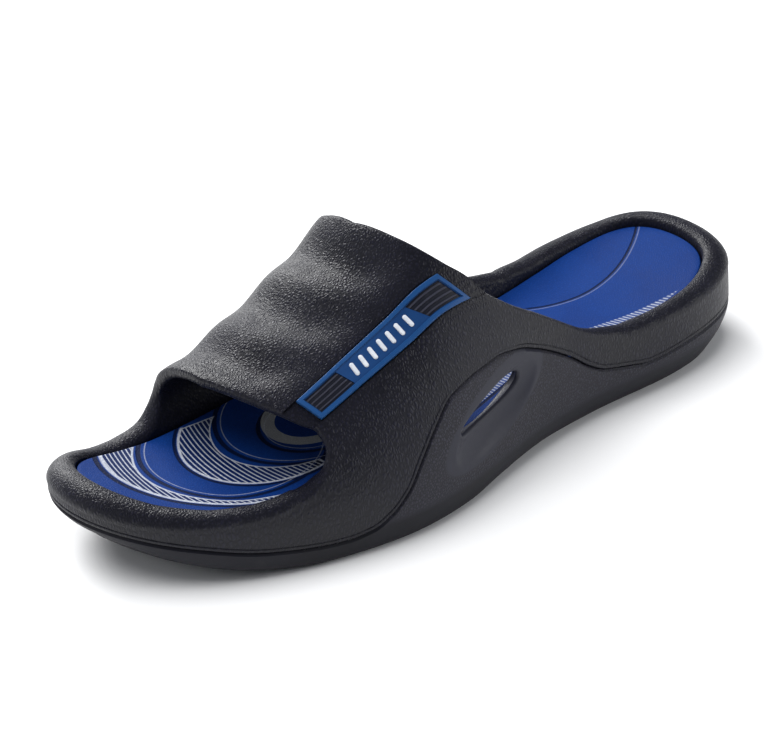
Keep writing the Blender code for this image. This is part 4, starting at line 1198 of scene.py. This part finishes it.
def badge_level(shares, reaches):
    """Level of the badge's top over the strap: rounded border, sunk field and two pockets for the panels."""
    run = (shares * BADGE_LENGTH)[:, None]
    across = np.abs(reaches)[None, :]
    edge = np.minimum(np.minimum(run, BADGE_LENGTH - run), BADGE_WIDTH / 2.0 - across)
    short = np.clip(BADGE_ROUND - edge, 0.0, BADGE_ROUND)
    rounded = BADGE_ROUND - np.sqrt(BADGE_ROUND ** 2 - short ** 2)
    sink = BADGE_SINK * np.clip((edge - BADGE_BORDER + BADGE_BEVEL) / BADGE_BEVEL, 0.0, 1.0)
    level = BADGE_PROUD - rounded - sink
    near = np.minimum(run, BADGE_LENGTH - run)
    pocket = (near > PANEL_START - CLEARANCE / 2.0) & (near < PANEL_START + PANEL_LENGTH + CLEARANCE / 2.0)
    pocket = pocket & (across < (PANEL_WIDTH + CLEARANCE) / 2.0)
    return np.where(pocket, BADGE_PROUD - BADGE_SINK - PANEL_DEPTH, level)


def make_badge():
    """Blue strip with a raised border."""
    brink = (CLEARANCE / 2.0 - STEEP, CLEARANCE / 2.0 + STEEP)
    border = [*ROUND_MARKS, BADGE_BORDER - BADGE_BEVEL, BADGE_BORDER]
    stop = PANEL_START + PANEL_LENGTH
    ends = border + [PANEL_START - brink[1], PANEL_START - brink[0]]
    ends += [mix(PANEL_START, stop, k / PANEL_STEPS) for k in range(1, PANEL_STEPS)]
    ends += [stop + brink[0], stop + brink[1]]
    side = (BADGE_WIDTH - PANEL_WIDTH) / 2.0
    sides = border + [side - brink[1], side - brink[0]]
    shares = graded(BADGE_LENGTH, ends, BADGE_STEPS) / BADGE_LENGTH
    reaches = graded(BADGE_WIDTH, sides, BADGE_LINES) - BADGE_WIDTH / 2.0
    top = badge_level(shares, reaches)
    return badge_slab("badge_strip", shares, reaches, top, CLEARANCE - CHANNEL_DEPTH)


def make_panel(name, start):
    """Dark panel with lengthwise ribs, let into one end of the badge."""
    shares = np.linspace(start, start + PANEL_LENGTH, PANEL_STEPS + 1) / BADGE_LENGTH
    reaches = np.linspace(-PANEL_WIDTH / 2.0, PANEL_WIDTH / 2.0, PANEL_LINES + 1)
    wave = -np.cos(2.0 * math.pi * RIBS * reaches / PANEL_WIDTH)
    ends = np.minimum(np.arange(PANEL_STEPS + 1), 1)
    ends = np.minimum(ends, ends[::-1])
    ribs = RIB_HEIGHT * ease(RIB_SHAPE[0] * wave - RIB_SHAPE[1])[None, :] * ends[:, None]
    top = BADGE_PROUD - BADGE_SINK - RIB_HEIGHT + ribs
    return badge_slab(name, shares, reaches, top, BADGE_PROUD - BADGE_SINK - PANEL_DEPTH + CLEARANCE / 4.0)


def channel_cutter():
    """Slab that cuts the badge's channel into the strap."""
    shares = np.linspace(CHANNEL_ENDS[0], CHANNEL_ENDS[1], BADGE_STEPS + 1)
    half = BADGE_WIDTH / 2.0 + 2.0 * CLEARANCE
    reaches = np.linspace(-half, half, BADGE_LINES + 1)
    return badge_slab("channel_cutter", shares, reaches, CHANNEL_REACH, -CHANNEL_DEPTH)


def pip_mesh():
    """Slanted bar with round ends and a domed top, which lies on the badge."""
    turns = np.linspace(0.0, 2.0 * math.pi, PIP_TURNS + 1)[:-1]
    straight = (PIP_LENGTH - PIP_WIDTH) / 2.0
    lean = math.radians(PIP_LEAN)
    rows = []
    for step in range(PIP_ROWS + 1):
        turn = math.pi / 2.0 * step / PIP_ROWS
        radius = PIP_WIDTH / 2.0 * math.cos(turn)
        side = radius * np.cos(turns)
        reach = radius * np.sin(turns) + straight * np.sign(np.round(np.sin(turns), PIP_DIGITS))
        level = PIP_HEIGHT * math.sin(turn)
        run = side * math.cos(lean) + reach * math.sin(lean)
        across = reach * math.cos(lean) - side * math.sin(lean)
        rows.append(closed(np.stack([run, across, np.full(PIP_TURNS, level)], axis=-1)))
    rows.insert(0, rows[0] - np.array([0.0, 0.0, CLEARANCE]))
    skin = Skin()
    skin.patch(rows)
    skin.patch([np.broadcast_to(rows[0][:-1].mean(0), rows[0].shape), rows[0]])
    return skin.body("pip")


def make_pips():
    """Row of white pips along the badge's field."""
    shares = np.linspace(PIP_SPAN[0], PIP_SPAN[1], PIPS)
    flat = np.zeros((PIPS, 1))
    level = BADGE_PROUD - BADGE_SINK + flat
    spots = badge_points(shares, flat, level)[:, 0]
    mesh = bpy.data.meshes.new("pip_row")
    mesh.from_pydata(spots.tolist(), [], [])
    mark(mesh, "out", badge_points(shares, flat, level + SLOPE_STEP)[:, 0] - spots)
    mark(mesh, "across", badge_points(shares, flat + SLOPE_STEP, level)[:, 0] - spots)
    row = bpy.data.objects.new("pip_row", mesh)
    bpy.context.scene.collection.objects.link(row)
    group = bpy.data.node_groups.new("pip_row", "GeometryNodeTree")
    group.interface.new_socket("Places", in_out="INPUT", socket_type="NodeSocketGeometry")
    pip_socket = group.interface.new_socket("Pip", in_out="INPUT", socket_type="NodeSocketObject")
    finish_socket = group.interface.new_socket("Finish", in_out="INPUT", socket_type="NodeSocketMaterial")
    group.interface.new_socket("Pips", in_out="OUTPUT", socket_type="NodeSocketGeometry")
    tree = Tree(group)
    source = {"Object": tree.node("NodeGroupInput", {}, {}, "Pip")}
    shape = tree.node("GeometryNodeObjectInfo", {}, source, "Geometry")
    vector = {"data_type": "FLOAT_VECTOR"}
    out = tree.node("GeometryNodeInputNamedAttribute", vector, {"Name": "out"})
    across = tree.node("GeometryNodeInputNamedAttribute", vector, {"Name": "across"})
    upright = tree.node("FunctionNodeAlignRotationToVector", {"axis": "Z"}, {"Vector": out})
    about = {"axis": "Y", "pivot_axis": "Z"}
    turn = tree.node("FunctionNodeAlignRotationToVector", about, {"Rotation": upright, "Vector": across})
    places = tree.node("NodeGroupInput", {}, {}, "Places")
    many = {"Points": places, "Instance": shape, "Rotation": turn}
    many = tree.node("GeometryNodeInstanceOnPoints", {}, many)
    whole = tree.node("GeometryNodeRealizeInstances", {}, {0: many})
    finish = tree.node("NodeGroupInput", {}, {}, "Finish")
    dressed = tree.node("GeometryNodeSetMaterial", {}, {"Geometry": whole, "Material": finish})
    group.links.new(dressed.socket, group.nodes.new("NodeGroupOutput").inputs[0])
    pip = pip_mesh()
    step = row.modifiers.new("pip_row", "NODES")
    step.node_group = group
    step[pip_socket.identifier] = pip
    step[finish_socket.identifier] = pip_finish()
    applied(row)
    bpy.data.objects.remove(pip)
    return row


class Value:
    """Output of a node, which adds and multiplies like a number."""

    def __init__(self, owner, socket):
        self.owner = owner
        self.socket = socket

    def __add__(self, other):
        return self.owner.maths("ADD", self, other)

    def __sub__(self, other):
        return self.owner.maths("SUBTRACT", self, other)

    def __rsub__(self, other):
        return self.owner.maths("SUBTRACT", other, self)

    def __mul__(self, other):
        return self.owner.maths("MULTIPLY", self, other)

    def __truediv__(self, other):
        return self.owner.maths("DIVIDE", self, other)

    __radd__ = __add__
    __rmul__ = __mul__


class Tree:
    """Node tree with one way to make its nodes."""

    def __init__(self, tree):
        self.tree = tree

    def node(self, kind, settings, inputs, output=0):
        """Make a node from its settings and then its inputs, and give one of its outputs."""
        made = self.tree.nodes.new(kind)
        for name, value in settings.items():
            setattr(made, name, value)
        for name, value in inputs.items():
            if isinstance(value, Value):
                self.tree.links.new(value.socket, made.inputs[name])
            else:
                made.inputs[name].default_value = value
        return Value(self, made.outputs[output])


class Finish(Tree):
    """Material of one piece, from the places of its points in metres."""

    def __init__(self, name):
        """Take the finish's row, and read its points' places and the slope of its faces."""
        specular, self.relief, patch, start, full, *self.tones = FINISHES[name]
        self.material = bpy.data.materials.new(name)
        self.material.use_nodes = True
        super().__init__(self.material.node_tree)
        self.shader = self.tree.nodes["Principled BSDF"]
        self.shader.inputs["Specular IOR Level"].default_value = specular
        self.spot = self.node("ShaderNodeTexCoord", {}, {}, "Object")
        self.x, self.y, self.z = [self.part(self.spot, axis) for axis in range(3)]
        self.up = self.part(self.node("ShaderNodeTexCoord", {}, {}, "Normal"), 2)
        self.along = MIDDLE[0] - self.x
        self.patches = self.fade(self.noise(patch), start, full)

    def part(self, vector, axis):
        """One number of a vector."""
        return self.node("ShaderNodeSeparateXYZ", {}, {0: vector}, axis)

    def maths(self, operation, *values):
        """Sum of one or more values."""
        return self.node("ShaderNodeMath", {"operation": operation}, dict(enumerate(values)))

    def fade(self, value, start, end):
        """Smooth rise from 0 to 1 while a value goes from start to end."""
        limits = {"Value": value, "From Min": start, "From Max": end}
        return self.node("ShaderNodeMapRange", {"interpolation_type": "SMOOTHSTEP"}, limits)

    def colour(self, share, first, second):
        """Colour a share of the way from the first to the second."""
        both = [value if isinstance(value, Value) else (*value, 1.0) for value in (first, second)]
        return self.node("ShaderNodeMix", {"data_type": "RGBA"}, {0: share, 6: both[0], 7: both[1]}, 2)

    def noise(self, pitch, stretch=(1.0, 1.0, 1.0)):
        """Soft lumps of about a pitch across."""
        spot = self.node("ShaderNodeVectorMath", {"operation": "MULTIPLY"}, {0: self.spot, 1: stretch})
        return self.node("ShaderNodeTexNoise", {}, {"Vector": spot, "Scale": 1.0 / pitch, "Detail": 3.0})

    def grain(self, pitch, stretch=(1.0, 1.0, 1.0)):
        """Height of a leather grain: plump cells with bent creases between them."""
        bend = self.node("ShaderNodeTexNoise", {}, {"Vector": self.spot, "Scale": 0.4 / pitch}, "Color")
        spot = self.node("ShaderNodeVectorMath", {"operation": "MULTIPLY"}, {0: self.spot, 1: stretch})
        slack = self.node("ShaderNodeVectorMath", {"operation": "SCALE"}, {0: bend, "Scale": pitch})
        spot = self.node("ShaderNodeVectorMath", {"operation": "ADD"}, {0: spot, 1: slack})
        cells = {"Vector": spot, "Scale": 1.0 / pitch}
        crease = self.node("ShaderNodeTexVoronoi", {"feature": "DISTANCE_TO_EDGE"}, cells)
        return self.fade(crease, 0.0, 0.4)

    def strip(self):
        """Run along the badge and reach across it."""
        strip = self.node("ShaderNodeAttribute", {"attribute_name": "strip"}, {}, "Vector")
        return self.part(strip, 0), self.part(strip, 1)

    def beyond(self, centre, radii):
        """How far a point lies outside an oval."""
        run = (self.along - centre[0]) / radii[0]
        side = (self.y - centre[1]) / radii[1]
        return (self.maths("SQRT", run * run + side * side) - 1.0) * min(radii)

    def beside(self, first, second):
        """How far a point lies to the left of the line from the first place to the second."""
        run, side = unit(np.subtract(second, first)).tolist()
        return (self.y - first[1]) * run - (self.along - first[0]) * side

    def inside(self, distance):
        """1 where a distance from an edge is below 0, with a soft edge."""
        return self.fade(distance, SOFTNESS, -SOFTNESS)

    def line(self, distance, place):
        """1 on a line at a place's distance and of its width, 0 away from it."""
        reach = self.maths("ABSOLUTE", distance - place[0])
        return self.fade(reach, place[1] / 2.0 + SOFTNESS, place[1] / 2.0 - SOFTNESS)

    def most(self, *values):
        """Highest of some values."""
        highest = values[0]
        for value in values[1:]:
            highest = self.maths("MAXIMUM", highest, value)
        return highest

    def ground(self, share):
        """Colour a share of the way from the finish's first tone to its second."""
        return self.colour(share, *self.tones)

    def put_on(self, things, colour, roughness, height):
        """Give pieces this finish, with its colour, roughness and height of grain."""
        bump = self.node("ShaderNodeBump", {}, {"Distance": self.relief, "Height": height})
        for name, value in (("Base Color", colour), ("Roughness", roughness), ("Normal", bump)):
            self.tree.links.new(value.socket, self.shader.inputs[name])
        for thing in things:
            thing.data.materials.clear()
            thing.data.materials.append(self.material)
        return self.material


def upper_finish(thing):
    """Near-black foam rubber with a leather grain whose wrinkles run up, painted shade in the grain's
    creases, and lighter spots on its raised cells that are partly wear and partly painted light from above.
    """
    look = Finish("grained_rubber")
    grain = look.grain(GRAIN_PITCH, GRAIN_STRETCH)
    fine = look.noise(GRAIN_PITCH / 4.0)
    # Lighter where noise is high and faces turn up: patchy wear plus painted light from above
    lighter_spots = look.fade(look.noise(0.009) + look.up * 0.25, 0.60, 0.85) * grain
    colour = look.colour(lighter_spots * 0.5, look.ground(look.patches), RUBBED_AND_TOP_LIT_RUBBER)
    # Painted shade darkens the grain's creases
    colour = look.colour(0.6 - grain * 0.6, colour, CREASE_SHADE)
    roughness = 0.40 + look.patches * 0.08 - grain * 0.08 + fine * 0.10
    look.put_on([thing], colour, roughness, grain * 0.8 + fine * 0.25)


def sole_finish(thing):
    """Foam rubber, pebbled on the hump, smooth in the scoop and low down, with fine ribs underneath; the
    scoop's face is painted lighter as lit, and the pebbles' creases darker as painted shade.
    """
    look = Finish("moulded_rubber")
    spot, rear, _ = SCOOP_FRAME
    run = look.x * float(rear[0]) + look.y * float(rear[1]) - float(spot @ rear)
    rise = look.z - float(spot[2])
    turn = math.radians(SCOOP_TILT)
    reach = (run * math.cos(turn) + rise * math.sin(turn)) / SCOOP_LENGTH
    lift = (rise * math.cos(turn) - run * math.sin(turn)) / SCOOP_WIDTH
    scoop = look.fade(reach * reach + lift * lift, *SCOOP_EDGE) * look.fade(look.y, *OUTER_SIDE)
    bottom = look.fade(look.x, *TOE_RISE) * TOE_SPRING + look.fade(look.x, *HEEL_RISE) * TOE_SPRING * 0.5
    textured = look.fade(look.z - bottom, *TEXTURE_HEIGHT) * (1.0 - scoop)
    below = look.fade(look.up, *FACING_DOWN)
    pebble = look.grain(PEBBLE_PITCH, PEBBLE_STRETCH)
    fine = look.noise(GRAIN_PITCH / 3.0)
    colour = look.colour(textured, look.ground(look.patches), PEBBLES)
    # The scoop's face is painted lighter, as light falls on it
    colour = look.colour(scoop * 0.8, colour, SCOOP_LIT_FACE)
    # Painted shade darkens the creases between the pebbles
    colour = look.colour(textured * (1.0 - pebble) * 0.7, colour, CREASE_SHADE)
    scratches = look.noise(SCRATCH_PITCH, SCRATCH_STRETCH)
    scuffed = look.fade(look.noise(0.006) + scratches * 0.4, 0.75, 0.95)
    colour = look.colour(scuffed * 0.25, colour, SCUFF)
    ribs = look.fade(look.maths("SINE", look.x * (2.0 * math.pi / TREAD_PITCH)), -0.6, 0.6) * below
    roughness = 0.50 + fine * 0.12 - scoop * 0.10 + below * 0.08
    look.put_on([thing], colour, roughness, textured * pebble * 0.7 + fine * 0.25 + ribs * 2.0)


def insole_finish(thing):
    """Blue foam with printed crescents, moulded rings and hatched wedges; its moulded grooves are painted
    dark as shade, with thin painted highlights beside the ring grooves and the heel arc.
    """
    look = Finish("printed_foam")
    stripes = look.maths("SINE", (look.along + look.y * look.y * HATCH_BEND) * (2.0 * math.pi / HATCH_PITCH))
    hatch = look.fade(stripes, 0.35, 0.85)
    lines = []
    fields = []
    grooves = []
    for outer_centre, outer_radii, inner_centre, inner_radii, first, second in CRESCENTS:
        outer = look.beyond(outer_centre, outer_radii)
        field = look.most(outer, 0.0 - look.beyond(inner_centre, inner_radii))
        field = look.most(field, look.beside(first, second), PRINT_BACK - look.along)
        fields.append(look.inside(field))
        grooves.append(look.line(outer, CRESCENT_GROOVE) * look.fade(field, 0.0035, 0.0025))
        lines.append(look.line(field, (0.0, EDGE_LINE * 0.55)))
        lines.append(look.line(outer, (0.0, EDGE_LINE)) * look.fade(field, EDGE_LINE, 0.0))
    printed = look.most(*fields)
    colour = look.colour(printed, look.ground(look.patches), PRINT_DARK)
    for centre, radius in GROOVES:
        rim = look.beyond(centre, (radius, radius))
        grooves.append(look.line(rim, RING_GROOVE))
        # Painted highlight on the step inside each groove
        lines.append(look.line(rim, RING_EDGE_HIGHLIGHT) * 0.5)
    groove = look.most(*grooves) * look.fade(look.along, PRINT_BACK - GROOVES_FADE, PRINT_BACK)
    arc = look.beyond(HEEL_ARC[0], (HEEL_ARC[1], HEEL_ARC[1]))
    at_heel = look.fade(look.along, HEEL_ARC_END, HEEL_ARC_END - 0.002)
    # Painted highlight beside the heel arc's groove
    lines.append(look.line(arc, ARC_EDGE_HIGHLIGHT) * at_heel * 0.25)
    arch = look.line(look.beside(*ARCH_WEDGE[:2]), ARCH_GROOVE)
    arch = arch * look.line(look.along, ARCH_REACH)
    groove = look.most(groove, look.line(arc, ARC_GROOVE) * at_heel, arch)
    # The moulded grooves are painted dark as shade, besides being pressed in by the bump
    colour = look.colour(groove * 0.85, colour, GROOVE_SHADE)
    hole, edge = [look.beyond(RING_CENTRE, (radius, radius)) for radius in RING_RADII]
    colour = look.colour(look.inside(look.most(edge, 0.0 - hole)), colour, RING_GREY)
    wedges = []
    for corners in (HEEL_WEDGE, ARCH_WEDGE):
        field = look.most(*[look.beside(corners[k], corners[(k + 1) % 3]) for k in range(3)])
        wedges.append(look.inside(field) * (0.10 + hatch * 0.85))
    white = look.most(printed * hatch, *wedges, *lines)
    worn = 0.80 + look.fade(look.noise(0.0016), 0.35, 0.65) * 0.20
    # The white covers the print and the painted highlights beside the grooves
    colour = look.colour(white * worn, colour, PRINT_AND_HIGHLIGHT_WHITE)
    foam = look.grain(FOAM_PITCH)
    # Painted shade darkens the foam's pores
    colour = look.colour((1.0 - foam) * 0.25, colour, FOAM_PORE_SHADE)
    roughness = 0.58 + look.patches * 0.06 - white * 0.12
    look.put_on([thing], colour, roughness, foam * 0.35 + white * 0.25 - groove * 3.0)


def badge_finish(thing):
    """Satin blue rubber, its raised border painted lighter as a highlight."""
    look = Finish("satin_blue_rubber")
    run, across = look.strip()
    across = look.maths("ABSOLUTE", across)
    edge = look.maths("MINIMUM", look.maths("MINIMUM", run, BADGE_LENGTH - run), BADGE_WIDTH / 2.0 - across)
    border = look.fade(edge, BADGE_BORDER, BADGE_BORDER - BADGE_BEVEL)
    fine = look.noise(SATIN_PITCH * 1.2)
    # The raised border is painted lighter as a highlight
    colour = look.colour(border, look.ground(look.patches), BADGE_EDGE_HIGHLIGHT)
    lighter_spots = look.fade(look.noise(0.003), 0.55, 0.75) * look.fade(edge, BADGE_ROUND * 2.0, 0.0)
    colour = look.colour(lighter_spots * 0.3, colour, BADGE_RUBBED)
    look.put_on([thing], colour, 0.34 + fine * 0.14 + look.patches * 0.05, fine)


def panel_finish(things):
    """Dark satin rubber, its ribs' crests painted lighter as a highlight, with lighter patches of wear."""
    look = Finish("dark_ribbed_rubber")
    _, across = look.strip()
    wave = look.maths("COSINE", across * (2.0 * math.pi * RIBS / PANEL_WIDTH)) * -1.0
    fine = look.noise(SATIN_PITCH)
    # The ground tone rises to the ribs' crests as a painted highlight; lighter patches of wear on top
    colour = look.colour(look.patches * 0.3, look.ground(look.fade(wave, 0.2, 0.9)), PANEL_RUBBED)
    look.put_on(things, colour, 0.36 + fine * 0.16, fine)


def pip_finish():
    """White rubber, a little grey in the grain."""
    look = Finish("white_rubber")
    fine = look.noise(SATIN_PITCH)
    return look.put_on([], look.ground(look.patches), 0.38 + fine * 0.16, fine)


def floor_finish(thing):
    """Pale matt board."""
    look = Finish("pale_board")
    look.put_on([thing], look.ground(look.patches), 0.75 + look.patches * 0.1, look.noise(BOARD_PITCH))


def hang(data, spot):
    """Put a light up at a place, turned to the sandal."""
    light = bpy.data.objects.new(data.name, data)
    light.location = spot
    light.rotation_euler = (Vector(VIEW_AIM) - Vector(spot)).to_track_quat("-Z", "Y").to_euler()
    bpy.context.scene.collection.objects.link(light)
    return light


def add_stage():
    """Plain pale floor, white surroundings and soft lights."""
    mesh = bpy.data.meshes.new("floor")
    half = FLOOR_SIZE / 2.0
    corners = [(-half, -half, 0.0), (half, -half, 0.0), (half, half, 0.0), (-half, half, 0.0)]
    mesh.from_pydata(corners, [], [(0, 1, 2, 3)])
    floor = bpy.data.objects.new("floor", mesh)
    bpy.context.scene.collection.objects.link(floor)
    floor_finish(floor)
    world = bpy.data.worlds.new("studio")
    world.use_nodes = True
    sky = world.node_tree.nodes["Background"].inputs
    sky["Color"].default_value = WORLD_COLOUR
    sky["Strength"].default_value = WORLD_STRENGTH
    bpy.context.scene.world = world
    bpy.context.scene.view_settings.view_transform = "Standard"
    top = bpy.data.lights.new("top_light", "SUN")
    top.energy = TOP_STRENGTH
    top.angle = math.radians(TOP_SPREAD)
    hang(top, TOP_LIGHT).visible_glossy = False
    for name, spot, size, power in LIGHTS:
        data = bpy.data.lights.new(name, "AREA")
        data.shape = "DISK"
        data.size = size
        data.energy = power
        hang(data, spot)


make_camera()
add_stage()
upper = make_upper()
cut(upper, channel_cutter())
sole = make_sole()
insole = make_insole()
badge = make_badge()
pips = make_pips()
front_panel = make_panel("front_inlay", PANEL_START)
rear_panel = make_panel("rear_inlay", BADGE_LENGTH - PANEL_START - PANEL_LENGTH)
upper_finish(upper)
sole_finish(sole)
insole_finish(insole)
badge_finish(badge)
panel_finish((front_panel, rear_panel))
STANDS_FOR = (
    (upper, "upper", "upper"),
    (sole, "sole", "sole"),
    (insole, "insole", "insole"),
    (badge, "badge", "badge"),
    (front_panel, "badge_panel_front", "badge_panel"),
    (rear_panel, "badge_panel_rear", "badge_panel"),
)
for piece, node, material_slot in STANDS_FOR:
    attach(piece, "root")
    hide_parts(node)
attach(pips, "root")
